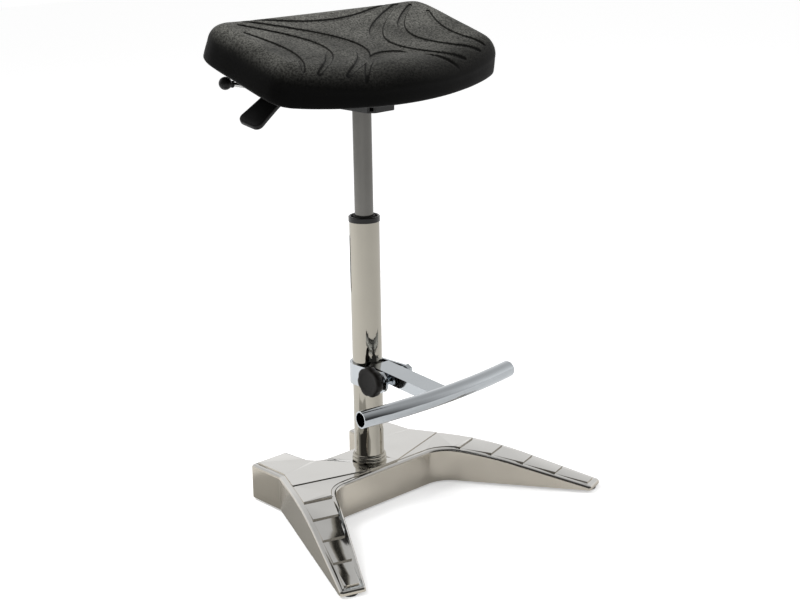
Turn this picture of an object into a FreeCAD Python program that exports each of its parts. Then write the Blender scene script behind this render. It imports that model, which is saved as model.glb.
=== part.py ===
import FreeCAD, Part
import math
import os

# Perch stool: tilted foam seat on a gas-lift column, with a clamped footrest bar and a
# cast base. All sizes are millimetres. +Z is up, the front of the stool is -Y, and the
# levers and the footrest knob are on the -X side. The origin is on the floor, under the
# middle of the whole stool's length and width.

# Base casting: plan corners of the right half, seen from above, with the column at 0, 0
casting_bottom = 4.0
casting_height = 60.0
crossbar_front = 42.0
crossbar_rear = 55.0
knee_x = 112.0
knee_radius = 46.0
tip_inner_x = 238.0
tip_inner_reach = 244.0
tip_outer_x = 275.0
tip_outer_reach = 232.0
tip_radius = 5.0
crease_x = 140.0
crease_y = 50.0
crease_radius = 14.0
stub_outer_x = 137.0
stub_inner_x = 66.0
stub_reach = 121.5
stub_radius = 6.0
notch_x = 62.0
notch_radius = 20.0

# Leg tops: they fall along a direction square to the tread seams
tread_turn = 17.0
slope_start = 52.0
slope_radius = 520.0
slope_angle = 14.4
band_depth = 2.6
band_width = 8.5
band_round = 4.5
tread_rise = 2.6
first_tread = 40.0
first_tread_length = 60.0
tread_pitch = 48.5
tread_count = 5
casting_wall = 5.5
roof_thickness = 6.5
hub_radius = 33.0
hub_sink = 1.0
hub_floor = 4.0
rib_thickness = 4.5

# Floor pads
pad_radius = 11.0
pad_chamfer = 1.0
pad_stud_radius = 3.0
pad_stud_length = 9.0
pad_boss_radius = 10.0
leg_pad_x = 253.0
leg_pad_reach = 227.0
stub_pad_x = 101.0
stub_pad_reach = 104.0

# Column
tube_radius = 22.5
tube_wall = 2.0
tube_top = 436.0
foot_ring_radius = 26.5
foot_ring_height = 12.0
foot_ring_waist = 1.4
foot_ring_upper = 0.8
foot_ring_lip = 1.0
collar_radius = 23.4
collar_height = 8.0
collar_wall = 3.2
collar_chamfer = 1.0
bushing_length = 106.0
bushing_flange = 3.0
wiper_wall = 2.6
wiper_stand = 0.4
end_plate_thickness = 8.0
column_bolt_radius = 3.0
column_bolt_circle = 15.5
column_bolt_head = 5.0
column_bolt_head_height = 3.5
column_bolt_grip = 6.0
bolt_head_play = 1.0
clip_well_play = 2.0

# Gas spring
running_fit = 0.05
cylinder_radius = 14.0
cylinder_wall = 1.5
cylinder_length = 300.0
cone_length = 31.0
cone_top_radius = 13.0
cone_bottom = 603.0
cap_length = 14.0
end_guide_length = 18.0
rod_radius = 5.0
piston_top = 425.0
piston_length = 22.0
race_outer = 13.0
race_thickness = 1.5
ball_radius = 1.47
ball_circle = 9.6
ball_count = 10
ball_play = 0.03
buffer_radius = 12.0
buffer_length = 14.0
clip_radius = 8.0
clip_thickness = 1.5
clip_play = 0.3
clip_mouth = 6.0
rod_tail = 1.5
race_play = 0.3
release_pin_radius = 4.0
release_pin_stand = 4.0
release_pin_length = 10.0
release_pin_chamfer = 0.8
release_travel = 2.0

# Tilt mechanism under the seat
tilt_angle = 17.0
pivot_rise = 19.0
plate_steel = 2.5
housing_half_width = 27.0
housing_front = 49.0
housing_rear = 53.0
housing_above_pivot = 11.0
housing_chamfer = 9.0
socket_radius = 17.0
socket_sink = 1.0
side_play = 0.6
pivot_bolt_radius = 4.0
pivot_bolt_head = 6.5
pivot_bolt_head_height = 4.5
pivot_nut_height = 3.5
window_middle = 4.8
window_half_width = 7.3
window_half_height = 5.9
window_radius = 2.5
seat_plane = 33.5
underside_recess = 6.0
bracket_front = 34.0
bracket_rear = 56.0
bracket_cheek_front = 20.0
bracket_cheek_rear = 26.0
bracket_cheek_drop = 9.0
plate_half_width = 76.0
plate_half_depth = 70.0
plate_corner = 12.0
seat_screw_x = 60.0
seat_screw_v = 54.0
seat_screw_radius = 3.0
seat_screw_head = 6.0
seat_screw_head_height = 2.8
seat_screw_chamfer = 1.2

# Levers
lever_rod_radius = 4.0
lever_play = 0.3
fulcrum_x = 20.5
fulcrum_pin_radius = 2.0
ear_thickness = 2.5
ear_reach = 5.0
ear_rise = 4.0
lever_hub_radius = 6.0
lever_hub_half = 6.0
lever_straight = 60.0
paddle_root_x = 157.0
paddle_root_drop = 2.5
paddle_tip_x = 215.0
paddle_tip_drop = 39.5
paddle_width = 41.0
paddle_neck_width = 33.0
paddle_shift = 1.5
paddle_thickness = 9.0
paddle_roll = 16.0
paddle_rod_grip = 24.0
paddle_root_corner = 4.0
paddle_tip_corner = 11.0
paddle_edge_round = 3.0
paddle_skew = 1.0
tilt_lever_y = 38.0
tilt_lever_rise = 14.0
tilt_rod_radius = 3.2
tilt_knob_radius = 9.3
tilt_knob_x = 186.0
tilt_knob_y = 78.0
tilt_knob_rise = 50.0
tilt_knob_neck = 5.0
tilt_knob_neck_length = 3.0
cam_radius = 5.5
lever_slot_depth = 9.0
sector_thickness = 3.0
sector_outer = 48.0
sector_inner = 26.0
sector_drop = 18.0
brake_pad_height = 16.0
brake_pad_half_width = 5.0

# Seat, in its own plane: x across, v from front to rear, w out of the plane
seat_half_width = 217.0
seat_front = 119.5
seat_front_bulge = 36.0
seat_rear = 126.0
seat_rear_bulge = 9.0
seat_front_corner = 30.0
seat_rear_corner = 34.0
seat_thickness = 57.5
seat_dish = 7.0
seat_dish_half_width = 155.0
recess_margin = 30.0
board_half_width = 150.0
board_half_depth = 78.0
board_corner = 30.0
board_thickness = 8.0
groove_width = 11.0
groove_end_width = 4.0
groove_depth = 3.0

# Footrest
strap_thickness = 4.0
strap_height = 32.0
strap_middle = 202.5
strap_play = 0.3
strap_reach = 53.0
stud_rise = 5.5
arm_half_width = 18.0
arm_height = 16.0
arm_wall = 2.5
arm_slope = 5.8
arm_start = 27.0
arm_rear_top = 219.9
arm_rear_reach = 33.0
bar_radius = 12.5
bar_wall = 2.0
bar_half_length = 152.5
bar_end_reach = 147.0
bar_bow = 12.6
bar_height = 201.5
stud_radius = 5.0
stud_fit = 0.3
spacer_radius = 9.0
knob_radius = 23.0
knob_lobe_depth = 2.0
knob_lobes = 7
knob_hub_radius = 12.0
knob_hub_length = 8.0
knob_head_length = 13.0
knob_dome = 3.0
knob_edge = 3.0
knob_back_taper = 2.0
stud_in_knob = 6.0
stud_past_nut = 2.0
washer_radius = 11.0
washer_thickness = 2.0
nut_radius = 9.2
nut_height = 8.0
saddle_half_width = 14.0
saddle_play = 0.3
saddle_plug = 8.0
saddle_hook = 6.0
saddle_lip = 3.0
saddle_step = 1.0
hollow_reach = 12.0


X_AXIS = FreeCAD.Vector(1, 0, 0)
Y_AXIS = FreeCAD.Vector(0, 1, 0)
Z_AXIS = FreeCAD.Vector(0, 0, 1)
ORIGIN = FreeCAD.Vector(0, 0, 0)


def vec(x, y, z=0.0):
    return FreeCAD.Vector(x, y, z)


def rod(radius, start, end):
    """Round bar between two points."""
    run = end.sub(start)
    return Part.makeCylinder(radius, run.Length, start, run)


def post(radius, low, high, x=0.0, y=0.0):
    """Upright round bar."""
    return Part.makeCylinder(radius, high - low, vec(x, y, low), Z_AXIS)


def ring(outer, inner, low, high, x=0.0, y=0.0):
    """Upright tube."""
    return post(outer, low, high, x, y).cut(post(inner, low - 1, high + 1, x, y))


def box(low_x, high_x, low_y, high_y, low_z, high_z):
    size = (high_x - low_x, high_y - low_y, high_z - low_z)
    return Part.makeBox(size[0], size[1], size[2], vec(low_x, low_y, low_z))


def mirrored(shape):
    """The same shape on the other side of the stool."""
    return shape.mirror(ORIGIN, X_AXIS)


def along_x(radius, low_x, high_x, y, z):
    return Part.makeCylinder(radius, high_x - low_x, vec(low_x, y, z), X_AXIS)


def along_y(radius, low_y, high_y, x, z):
    return Part.makeCylinder(radius, high_y - low_y, vec(x, low_y, z), Y_AXIS)


def hexagon_x(radius, low_x, high_x, y, z):
    """Hexagon bar along X, as a bolt head or nut."""
    points = []
    for step in range(7):
        angle = math.radians(60 * step + 30)
        points.append(vec(low_x, y + radius * math.cos(angle), z + radius * math.sin(angle)))
    face = Part.Face(Part.makePolygon(points))
    return face.extrude(vec(high_x - low_x, 0, 0))


def hexagon_z(radius, low, high, x, y):
    points = []
    for step in range(7):
        angle = math.radians(60 * step)
        points.append(vec(x + radius * math.cos(angle), y + radius * math.sin(angle), low))
    return Part.Face(Part.makePolygon(points)).extrude(vec(0, 0, high - low))


def rounded_wire(corners, height=0.0):
    """Closed flat wire through corners of (x, y, radius), each rounded by a tangent arc."""
    count = len(corners)
    ends = []
    for index, (x, y, radius) in enumerate(corners):
        here = vec(x, y, height)
        before = vec(corners[index - 1][0], corners[index - 1][1], height)
        after = vec(corners[(index + 1) % count][0], corners[(index + 1) % count][1], height)
        back = before.sub(here).normalize()
        forth = after.sub(here).normalize()
        half = back.getAngle(forth) / 2
        if radius <= 0:
            ends.append((here, here, here))
            continue
        reach = radius / math.tan(half)
        bisector = back.add(forth).normalize()
        middle = here.add(bisector.multiply(radius / math.sin(half) - radius))
        ends.append((here.add(back.multiply(reach)), middle, here.add(forth.multiply(reach))))
    edges = []
    for index, (start, middle, end) in enumerate(ends):
        if start.distanceToPoint(end) > 1e-6:
            edges.append(Part.Arc(start, middle, end).toShape())
        following = ends[(index + 1) % count][0]
        if end.distanceToPoint(following) > 1e-6:
            edges.append(Part.LineSegment(end, following).toShape())
    return Part.Wire(edges)


def inset_corners(corners, distance):
    """Corners of an anticlockwise outline moved inwards, with their arcs kept concentric."""
    count = len(corners)
    moved = []
    for index, (x, y, radius) in enumerate(corners):
        before = corners[index - 1]
        after = corners[(index + 1) % count]
        first = vec(x - before[0], y - before[1]).normalize()
        second = vec(after[0] - x, after[1] - y).normalize()
        turn = first.x * second.y - first.y * second.x
        cosine = first.x * second.x + first.y * second.y
        first_normal = vec(-first.y, first.x)
        second_normal = vec(-second.y, second.x)
        shift = first_normal.add(second_normal).multiply(distance / (1 + cosine))
        new_radius = radius - distance if turn > 0 else radius + distance
        moved.append((x + shift.x, y + shift.y, max(new_radius, 1.0)))
    return moved


def prism(corners, low, high):
    return Part.Face(rounded_wire(corners, low)).extrude(vec(0, 0, high - low))


def rounded_plate(half_x, half_y, radius, low, high):
    corners = [
        (half_x, -half_y, radius),
        (half_x, half_y, radius),
        (-half_x, half_y, radius),
        (-half_x, -half_y, radius),
    ]
    return prism(corners, low, high)


# Base casting

def casting_corners():
    """Plan of the whole casting, anticlockwise from the front of the crossbar."""
    right = [
        (knee_x, -crossbar_front, knee_radius),
        (tip_inner_x, -tip_inner_reach, tip_radius),
        (tip_outer_x, -tip_outer_reach, tip_radius),
        (crease_x, crease_y, crease_radius),
        (stub_outer_x, stub_reach, stub_radius),
        (stub_inner_x, stub_reach, stub_radius),
        (notch_x, crossbar_rear, notch_radius),
    ]
    left = [(-x, y, radius) for x, y, radius in reversed(right)]
    return right + left


def slope_drop(distance):
    """How far the leg's top has fallen at a distance from the column, square to the seams."""
    turned = slope_radius * math.sin(math.radians(slope_angle))
    run = distance - slope_start
    if run <= 0:
        return 0.0
    if run <= turned:
        return slope_radius - math.sqrt(slope_radius ** 2 - run ** 2)
    bend = slope_radius * (1 - math.cos(math.radians(slope_angle)))
    return bend + (run - turned) * math.tan(math.radians(slope_angle))


# The whole stool is drawn about the column, then moved so that the origin is central.
casting_box = rounded_wire(casting_corners()).optimalBoundingBox()
column_y = -(casting_box.YMin + casting_box.YMax) / 2
cutter_reach = 360.0
cutter_top = 120.0
hole_reach = 100.0


def leg_frame(shape):
    """Turns a profile drawn in X and Z, extruded along Y, to run down the right leg."""
    shape.rotate(ORIGIN, Z_AXIS, tread_turn - 90)
    return shape


def leg_cutters(edges):
    """Closes a profile over the top and makes the pair of cutters for both legs."""
    face = Part.Face(Part.Wire(edges))
    right = leg_frame(face.extrude(vec(0, 2 * cutter_reach, 0)))
    return right, mirrored(right)


def smooth_cutters(lowered):
    """Cutters that leave the legs' tops falling in one smooth line."""
    top = casting_height - lowered
    turned = slope_radius * math.sin(math.radians(slope_angle))
    bend_end = slope_start + turned
    middle = slope_start + slope_radius * math.sin(math.radians(slope_angle / 2))
    side = -cutter_reach
    points = [vec(d, side, top - slope_drop(d)) for d in (slope_start, middle, bend_end, cutter_reach)]
    far = vec(cutter_reach, side, cutter_top)
    near = vec(slope_start, side, cutter_top)
    edges = [
        Part.Arc(points[0], points[1], points[2]).toShape(),
        Part.LineSegment(points[2], points[3]).toShape(),
        Part.LineSegment(points[3], far).toShape(),
        Part.LineSegment(far, near).toShape(),
        Part.LineSegment(near, points[0]).toShape(),
    ]
    return leg_cutters(edges)


def tread_cutters():
    """Cutters that leave overlapping treads, each with a riser at its lower end."""
    side = -cutter_reach
    seams = [first_tread, first_tread + first_tread_length]
    while len(seams) < tread_count + 1:
        seams.append(seams[-1] + tread_pitch)
    points = [vec(first_tread, side, cutter_top), vec(first_tread, side, casting_height - tread_rise / 2)]
    for start, end in zip(seams[:-1], seams[1:]):
        points.append(vec(end, side, casting_height - slope_drop(end)))
        points.append(vec(end, side, casting_height - slope_drop(end) - tread_rise))
    last = cutter_reach
    points.append(vec(last, side, casting_height - slope_drop(last) - tread_rise))
    points.append(vec(last, side, cutter_top))
    points.append(points[0])
    edges = [Part.LineSegment(a, b).toShape() for a, b in zip(points[:-1], points[1:])]
    return leg_cutters(edges)


def pad_places():
    places = []
    for side in (-1, 1):
        places.append((side * leg_pad_x, -leg_pad_reach))
        places.append((side * stub_pad_x, stub_pad_reach))
    return places


def base_casting():
    outline = casting_corners()
    body = prism(outline, casting_bottom, casting_height - band_depth)
    for cutter in smooth_cutters(band_depth):
        body = body.cut(cutter)
    rim = []
    wire = rounded_wire(outline)
    for edge in body.Edges:
        middle = edge.valueAt((edge.FirstParameter + edge.LastParameter) / 2)
        ends = [vertex.Point for vertex in edge.Vertexes]
        upright = abs(ends[0].z - ends[-1].z) > 0.9 * edge.Length
        flat = vec(middle.x, middle.y, 0)
        if middle.z < casting_bottom + 1 or upright:
            continue
        if wire.distToShape(Part.Vertex(flat))[0] < 0.05:
            rim.append(edge)
    body = body.makeFillet(band_round, rim)
    treads = prism(inset_corners(outline, band_width), casting_bottom + roof_thickness, casting_height)
    for cutter in tread_cutters():
        treads = treads.cut(cutter)
    body = body.fuse(treads)
    inner = inset_corners(outline, casting_wall)
    cavity = prism(inner, casting_bottom - 1, casting_height - band_depth - roof_thickness)
    for cutter in smooth_cutters(band_depth + roof_thickness):
        cavity = cavity.cut(cutter)
    solid = [post(hub_radius, casting_bottom, casting_height - band_depth - hub_sink)]
    for x, y in pad_places():
        solid.append(post(pad_boss_radius, casting_bottom, casting_height, x, y))
    ribs = box(-cutter_reach, cutter_reach, -rib_thickness / 2, rib_thickness / 2, casting_bottom, casting_height)
    solid.append(ribs)
    for side in (-1, 1):
        start = vec(side * hub_radius * 0.7, -hub_radius * 0.7, casting_bottom)
        end = vec(side * leg_pad_x, -leg_pad_reach, casting_bottom)
        run = end.sub(start)
        across = vec(-run.y, run.x).normalize().multiply(rib_thickness / 2)
        points = [start.add(across), end.add(across), end.sub(across), start.sub(across), start.add(across)]
        solid.append(Part.Face(Part.makePolygon(points)).extrude(vec(0, 0, casting_height)))
    for shape in solid:
        cavity = cavity.cut(shape)
    body = body.cut(cavity)
    floor_top = casting_bottom + column_bolt_head_height + hub_floor
    body = body.cut(post(tube_radius, floor_top, casting_height + 1))
    body = body.cut(post(clip_radius + clip_well_play, casting_bottom - 1, floor_top + 1))
    for x, y in bolt_circle():
        body = body.cut(post(column_bolt_radius, casting_bottom - 1, floor_top + 1, x, y))
        head_well = column_bolt_head + bolt_head_play
        body = body.cut(post(head_well, casting_bottom - 1, casting_bottom + column_bolt_head_height, x, y))
    for x, y in pad_places():
        body = body.cut(post(pad_stud_radius, casting_bottom - 1, casting_bottom + pad_stud_length, x, y))
    return body.removeSplitter()


def bolt_circle():
    places = []
    for step in range(3):
        angle = math.radians(120 * step + 90)
        places.append((column_bolt_circle * math.cos(angle), column_bolt_circle * math.sin(angle)))
    return places


def floor_pads():
    pads = []
    for x, y in pad_places():
        foot = post(pad_radius, 0, casting_bottom, x, y)
        foot = foot.makeChamfer(pad_chamfer, [edge for edge in foot.Edges if edge.BoundBox.ZMax < 0.1])
        pads.append(foot.fuse(post(pad_stud_radius, casting_bottom, casting_bottom + pad_stud_length, x, y)))
    return Part.Compound(pads)


# Column

tube_bottom = casting_bottom + column_bolt_head_height + hub_floor
tube_inner = tube_radius - tube_wall
plate_top = tube_bottom + end_plate_thickness


def column_tube():
    return ring(tube_radius, tube_inner, tube_bottom, tube_top)


def column_foot_ring():
    """Spun ring with two rounded ridges, round the foot of the tube."""
    low = casting_height
    ridge = foot_ring_height / 4
    waist = foot_ring_radius - foot_ring_waist
    points_low = [
        vec(tube_radius, 0, low),
        vec(waist, 0, low),
    ]
    edges = [Part.LineSegment(points_low[0], points_low[1]).toShape()]
    first = vec(waist, 0, low + 2 * ridge)
    edges.append(Part.Arc(points_low[1], vec(foot_ring_radius, 0, low + ridge), first).toShape())
    second = vec(tube_radius + foot_ring_lip, 0, low + 4 * ridge)
    edges.append(Part.Arc(first, vec(foot_ring_radius - foot_ring_upper, 0, low + 3 * ridge), second).toShape())
    top = vec(tube_radius, 0, low + 4 * ridge)
    edges.append(Part.LineSegment(second, top).toShape())
    edges.append(Part.LineSegment(top, points_low[0]).toShape())
    return Part.Face(Part.Wire(edges)).revolve(ORIGIN, Z_AXIS, 360)


def column_collar():
    collar = ring(collar_radius, collar_radius - collar_wall, tube_top, tube_top + collar_height)
    top = [e for e in collar.Edges if e.BoundBox.ZMin > tube_top + collar_height - 0.1]
    return collar.makeChamfer(collar_chamfer, top)


def guide_bushing():
    """Long plastic sleeve that the lift cylinder slides in, with a flange on the tube."""
    bore = cylinder_radius + running_fit
    low = tube_top + bushing_flange - bushing_length
    sleeve = ring(tube_inner, bore, low, tube_top)
    flange = ring(collar_radius - collar_wall, bore, tube_top, tube_top + bushing_flange)
    return sleeve.fuse(flange).removeSplitter()


def rod_wiper():
    bore = cylinder_radius + running_fit
    low = tube_top + bushing_flange
    return ring(bore + wiper_wall, bore, low, tube_top + collar_height + wiper_stand)


def column_end_plate():
    plate = post(tube_inner, tube_bottom, plate_top)
    plate = plate.cut(post(rod_radius + running_fit, tube_bottom - 1, plate_top + 1))
    for x, y in bolt_circle():
        plate = plate.cut(post(column_bolt_radius, tube_bottom - 1, tube_bottom + column_bolt_grip, x, y))
    return plate


def column_bolts():
    bolts = []
    for x, y in bolt_circle():
        head_top = casting_bottom + column_bolt_head_height
        head = hexagon_z(column_bolt_head, casting_bottom, head_top, x, y)
        shank = post(column_bolt_radius, head_top, tube_bottom + column_bolt_grip, x, y)
        bolts.append(head.fuse(shank).removeSplitter())
    return Part.Compound(bolts)


ball_middle = plate_top + race_thickness + ball_radius + ball_play
upper_race_bottom = ball_middle + ball_radius + ball_play
buffer_bottom = upper_race_bottom + race_thickness


def bearing_lower_race():
    return ring(race_outer, rod_radius + race_play, plate_top, plate_top + race_thickness)


def bearing_balls():
    balls = []
    for step in range(ball_count):
        angle = 2 * math.pi * step / ball_count
        place = vec(ball_circle * math.cos(angle), ball_circle * math.sin(angle), ball_middle)
        balls.append(Part.makeSphere(ball_radius, place))
    return Part.Compound(balls)


# Gas spring

cylinder_bottom = cone_bottom - cylinder_length
cylinder_top = cone_bottom + cone_length


def piston_rod():
    clip_low = tube_bottom - clip_play - clip_thickness
    return post(rod_radius, clip_low - rod_tail, piston_top - piston_length)


def piston():
    return post(cylinder_radius - cylinder_wall - running_fit, piston_top - piston_length, piston_top)


def bearing_upper_race():
    return ring(race_outer, rod_radius, upper_race_bottom, upper_race_bottom + race_thickness)


def rubber_buffer():
    return ring(buffer_radius, rod_radius, buffer_bottom, buffer_bottom + buffer_length)


def rod_clip():
    """Spring clip that holds the rod under the end plate, open on one side."""
    high = tube_bottom - clip_play
    clip = ring(clip_radius, rod_radius, high - clip_thickness, high)
    return clip.cut(box(0, clip_radius + 1, -clip_mouth / 2, clip_mouth / 2, high - clip_thickness, high))


def gas_spring_cylinder():
    """Pressure tube with a tapered top that wedges into the seat mechanism."""
    body = post(cylinder_radius, cylinder_bottom, cone_bottom)
    taper = Part.makeCone(cylinder_radius, cone_top_radius, cone_length, vec(0, 0, cone_bottom), Z_AXIS)
    body = body.fuse(taper)
    inner = cylinder_radius - cylinder_wall
    body = body.cut(post(inner, cylinder_bottom - 1, cone_bottom))
    core = Part.makeCone(inner, cone_top_radius - cylinder_wall, cone_length - cap_length,
                         vec(0, 0, cone_bottom), Z_AXIS)
    body = body.cut(core)
    pin_bore = release_pin_radius + running_fit
    return body.cut(post(pin_bore, cylinder_top - cap_length - 1, cylinder_top + 1)).removeSplitter()


def cylinder_end_guide():
    outer = cylinder_radius - cylinder_wall
    return ring(outer, rod_radius + running_fit, cylinder_bottom, cylinder_bottom + end_guide_length)


def release_pin():
    high = cylinder_top + release_pin_stand
    pin = post(release_pin_radius, high - release_pin_length, high)
    return pin.makeChamfer(release_pin_chamfer, [e for e in pin.Edges if e.BoundBox.ZMin > high - 0.1])


# Tilt mechanism

pivot_height = cone_bottom + pivot_rise
housing_top = pivot_height + housing_above_pivot
housing_inner = housing_half_width - plate_steel
lever_z = cylinder_top + release_pin_stand + lever_play + lever_rod_radius
paddle_root_z = lever_z - paddle_root_drop
paddle_tip_z = lever_z - paddle_tip_drop
tilt_lever_z = cone_bottom + tilt_lever_rise
tilt_knob_z = cone_bottom + tilt_knob_rise


def mechanism_housing():
    """Folded steel channel, open above, with cropped front corners."""
    outline = [
        vec(-housing_half_width + housing_chamfer, -housing_front),
        vec(housing_half_width - housing_chamfer, -housing_front),
        vec(housing_half_width, -housing_front + housing_chamfer),
        vec(housing_half_width, housing_rear),
        vec(-housing_half_width, housing_rear),
        vec(-housing_half_width, -housing_front + housing_chamfer),
    ]
    outline.append(outline[0])
    block = Part.Face(Part.makePolygon(outline)).extrude(vec(0, 0, housing_top - cone_bottom))
    block.translate(vec(0, 0, cone_bottom))
    inside = box(-housing_inner, housing_inner, -housing_front + plate_steel, housing_rear + 1,
                 cone_bottom + plate_steel, housing_top + 1)
    block = block.cut(inside)
    block = block.cut(socket_bore())
    block = block.cut(along_x(pivot_bolt_radius, -hole_reach, hole_reach, 0, pivot_height))
    slot_half = lever_hub_half + lever_play
    slot = box(-housing_half_width - 1, -housing_inner + 1, tilt_lever_y - slot_half,
               tilt_lever_y + slot_half, tilt_lever_z - lever_slot_depth, housing_top + 1)
    return block.cut(slot).removeSplitter()


def socket_bore():
    return Part.makeCone(cylinder_radius, cone_top_radius, cone_length, vec(0, 0, cone_bottom), Z_AXIS)


def cone_socket():
    socket = post(socket_radius, cone_bottom + plate_steel, cylinder_top - socket_sink)
    return socket.cut(socket_bore())


lever_pivots = [(0.0, lever_z), (tilt_lever_y, tilt_lever_z)]


def lever_ears():
    """Two pairs of ears, welded in the channel, that hold the levers' cross pins."""
    base = cone_bottom + plate_steel
    gap = lever_hub_half + lever_play
    solids = []
    for y, z in lever_pivots:
        for low_y in (y - gap - ear_thickness, y + gap):
            ear = box(-housing_inner, -fulcrum_x + ear_reach, low_y, low_y + ear_thickness, base, z + ear_rise)
            ear = ear.cut(post(socket_radius, base - 1, z + ear_rise + 1))
            solids.append(ear.cut(along_y(fulcrum_pin_radius, -hole_reach, hole_reach, -fulcrum_x, z)))
    return Part.Compound(solids)


def lever_pins():
    reach = lever_hub_half + lever_play + ear_thickness
    pins = []
    for y, z in lever_pivots:
        pins.append(along_y(fulcrum_pin_radius, y - reach, y + reach, -fulcrum_x, z))
    return Part.Compound(pins)


def bracket_cheeks():
    low = housing_half_width + side_play
    return low, low + plate_steel


def pivot_bolts():
    """Two short bolts that the seat bracket turns on, one in each side of the channel."""
    cheek_out = bracket_cheeks()[1] + lever_play
    bolts = []
    for side in (-1, 1):
        shank = along_x(pivot_bolt_radius, housing_inner - pivot_nut_height, cheek_out, 0, pivot_height)
        head = hexagon_x(pivot_bolt_head, cheek_out, cheek_out + pivot_bolt_head_height, 0, pivot_height)
        bolt = shank.fuse(head).removeSplitter()
        bolts.append(bolt if side > 0 else mirrored(bolt))
    return Part.Compound(bolts)


def pivot_nuts():
    nuts = []
    nut = hexagon_x(pivot_bolt_head, housing_inner - pivot_nut_height, housing_inner, 0, pivot_height)
    nut = nut.cut(along_x(pivot_bolt_radius, 0, hole_reach, 0, pivot_height))
    nuts.append(nut)
    nuts.append(mirrored(nut))
    return Part.Compound(nuts)


def brake_pad():
    """Block that the tilt lever's cam pushes against the sector."""
    high_x = -sector_thickness / 2 - lever_play
    low_x = -fulcrum_x + cam_radius + lever_play
    low = cone_bottom + plate_steel
    pad = box(low_x, high_x, tilt_lever_y - brake_pad_half_width, tilt_lever_y + brake_pad_half_width,
              low, low + brake_pad_height)
    return pad.cut(post(socket_radius, low - 1, low + brake_pad_height + 1))


# Levers

def height_lever_rod():
    """Bent rod: one end over the release pin, the other end in the paddle."""
    inner = vec(release_pin_radius, 0, lever_z)
    bend = vec(-lever_straight, 0, lever_z)
    root = vec(-paddle_root_x, 0, paddle_root_z)
    tip = vec(-paddle_tip_x, 0, paddle_tip_z)
    grip = tip.sub(root).normalize().multiply(paddle_rod_grip)
    shape = rod(lever_rod_radius, inner, bend)
    shape = shape.fuse(Part.makeSphere(lever_rod_radius, bend))
    shape = shape.fuse(rod(lever_rod_radius, bend, root))
    shape = shape.fuse(Part.makeSphere(lever_rod_radius, root))
    shape = shape.fuse(rod(lever_rod_radius, root, root.add(grip)))
    hub = along_y(lever_hub_radius, -lever_hub_half, lever_hub_half, -fulcrum_x, lever_z)
    shape = shape.fuse(hub)
    hole = along_y(fulcrum_pin_radius + running_fit, -hole_reach, hole_reach, -fulcrum_x, lever_z)
    shape = shape.cut(hole)
    return shape.removeSplitter()


def height_lever_paddle():
    """Flat rounded blade that droops from the rod's end, rolled forward like the seat."""
    length = math.hypot(paddle_tip_x - paddle_root_x, paddle_root_z - paddle_tip_z)
    droop = math.degrees(math.atan2(paddle_root_z - paddle_tip_z, paddle_tip_x - paddle_root_x))
    half = paddle_width / 2
    neck = paddle_neck_width / 2
    corners = [
        (0, -neck, paddle_root_corner),
        (0, neck, paddle_root_corner),
        (-length, half, paddle_tip_corner),
        (-length - paddle_skew, -half, paddle_tip_corner),
    ]
    corners.reverse()
    blade = prism(corners, -paddle_thickness / 2, paddle_thickness / 2)
    edges = [e for e in blade.Edges if abs(abs(e.BoundBox.Center.z) - paddle_thickness / 2) < 0.01]
    blade = blade.makeFillet(paddle_edge_round, edges)
    blade.translate(vec(0, paddle_shift, 0))
    blade.rotate(ORIGIN, X_AXIS, paddle_roll)
    blade.rotate(ORIGIN, Y_AXIS, -droop)
    blade.translate(vec(-paddle_root_x, 0, paddle_root_z))
    return blade.cut(height_lever_rod())


def tilt_lever_ends():
    start = vec(-fulcrum_x, tilt_lever_y, tilt_lever_z)
    knob = vec(-tilt_knob_x, tilt_knob_y, tilt_knob_z)
    return start, knob


def tilt_lever_rod():
    """Rod from the middle of the tilt knob to the cam on the lever's pin."""
    start, knob = tilt_lever_ends()
    shape = rod(tilt_rod_radius, start, knob)
    cam = along_y(cam_radius, tilt_lever_y - lever_hub_half, tilt_lever_y + lever_hub_half,
                  -fulcrum_x, tilt_lever_z)
    shape = shape.fuse(cam)
    pin_hole = along_y(fulcrum_pin_radius + running_fit, 0, hole_reach, -fulcrum_x, tilt_lever_z)
    return shape.cut(pin_hole).removeSplitter()


def tilt_lever_knob():
    """Ball with a short neck, bored to its middle for the rod, turned as one profile."""
    start, knob = tilt_lever_ends()
    neck_low = math.sqrt(tilt_knob_radius ** 2 - tilt_knob_neck ** 2)
    neck_high = tilt_knob_radius + tilt_knob_neck_length
    points = [
        vec(0, 0, -tilt_knob_radius),
        vec(tilt_knob_neck, 0, neck_low),
        vec(tilt_knob_neck, 0, neck_high),
        vec(tilt_rod_radius, 0, neck_high),
        vec(tilt_rod_radius, 0, 0),
        ORIGIN,
    ]
    edges = [Part.Arc(points[0], vec(tilt_knob_radius, 0, 0), points[1]).toShape()]
    for a, b in zip(points[1:], points[2:] + points[:1]):
        edges.append(Part.LineSegment(a, b).toShape())
    ball = Part.Face(Part.Wire(edges)).revolve(ORIGIN, Z_AXIS, 360)
    ball.Placement = FreeCAD.Placement(knob, FreeCAD.Rotation(Z_AXIS, start.sub(knob)))
    return ball


# Seat: drawn flat, with the pivot at 0, 0 and the underside's rim at the height seat_plane

def place_seat(shape):
    """Tips the seat forward about the pivot and lifts it to its height."""
    shape.rotate(ORIGIN, X_AXIS, tilt_angle)
    shape.translate(vec(0, 0, pivot_height))
    return shape


seat_shift = seat_plane * math.tan(math.radians(tilt_angle))
board_low = seat_plane + underside_recess
plate_low = board_low - plate_steel
bracket_top = plate_low
bracket_roof = bracket_top - plate_steel


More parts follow.
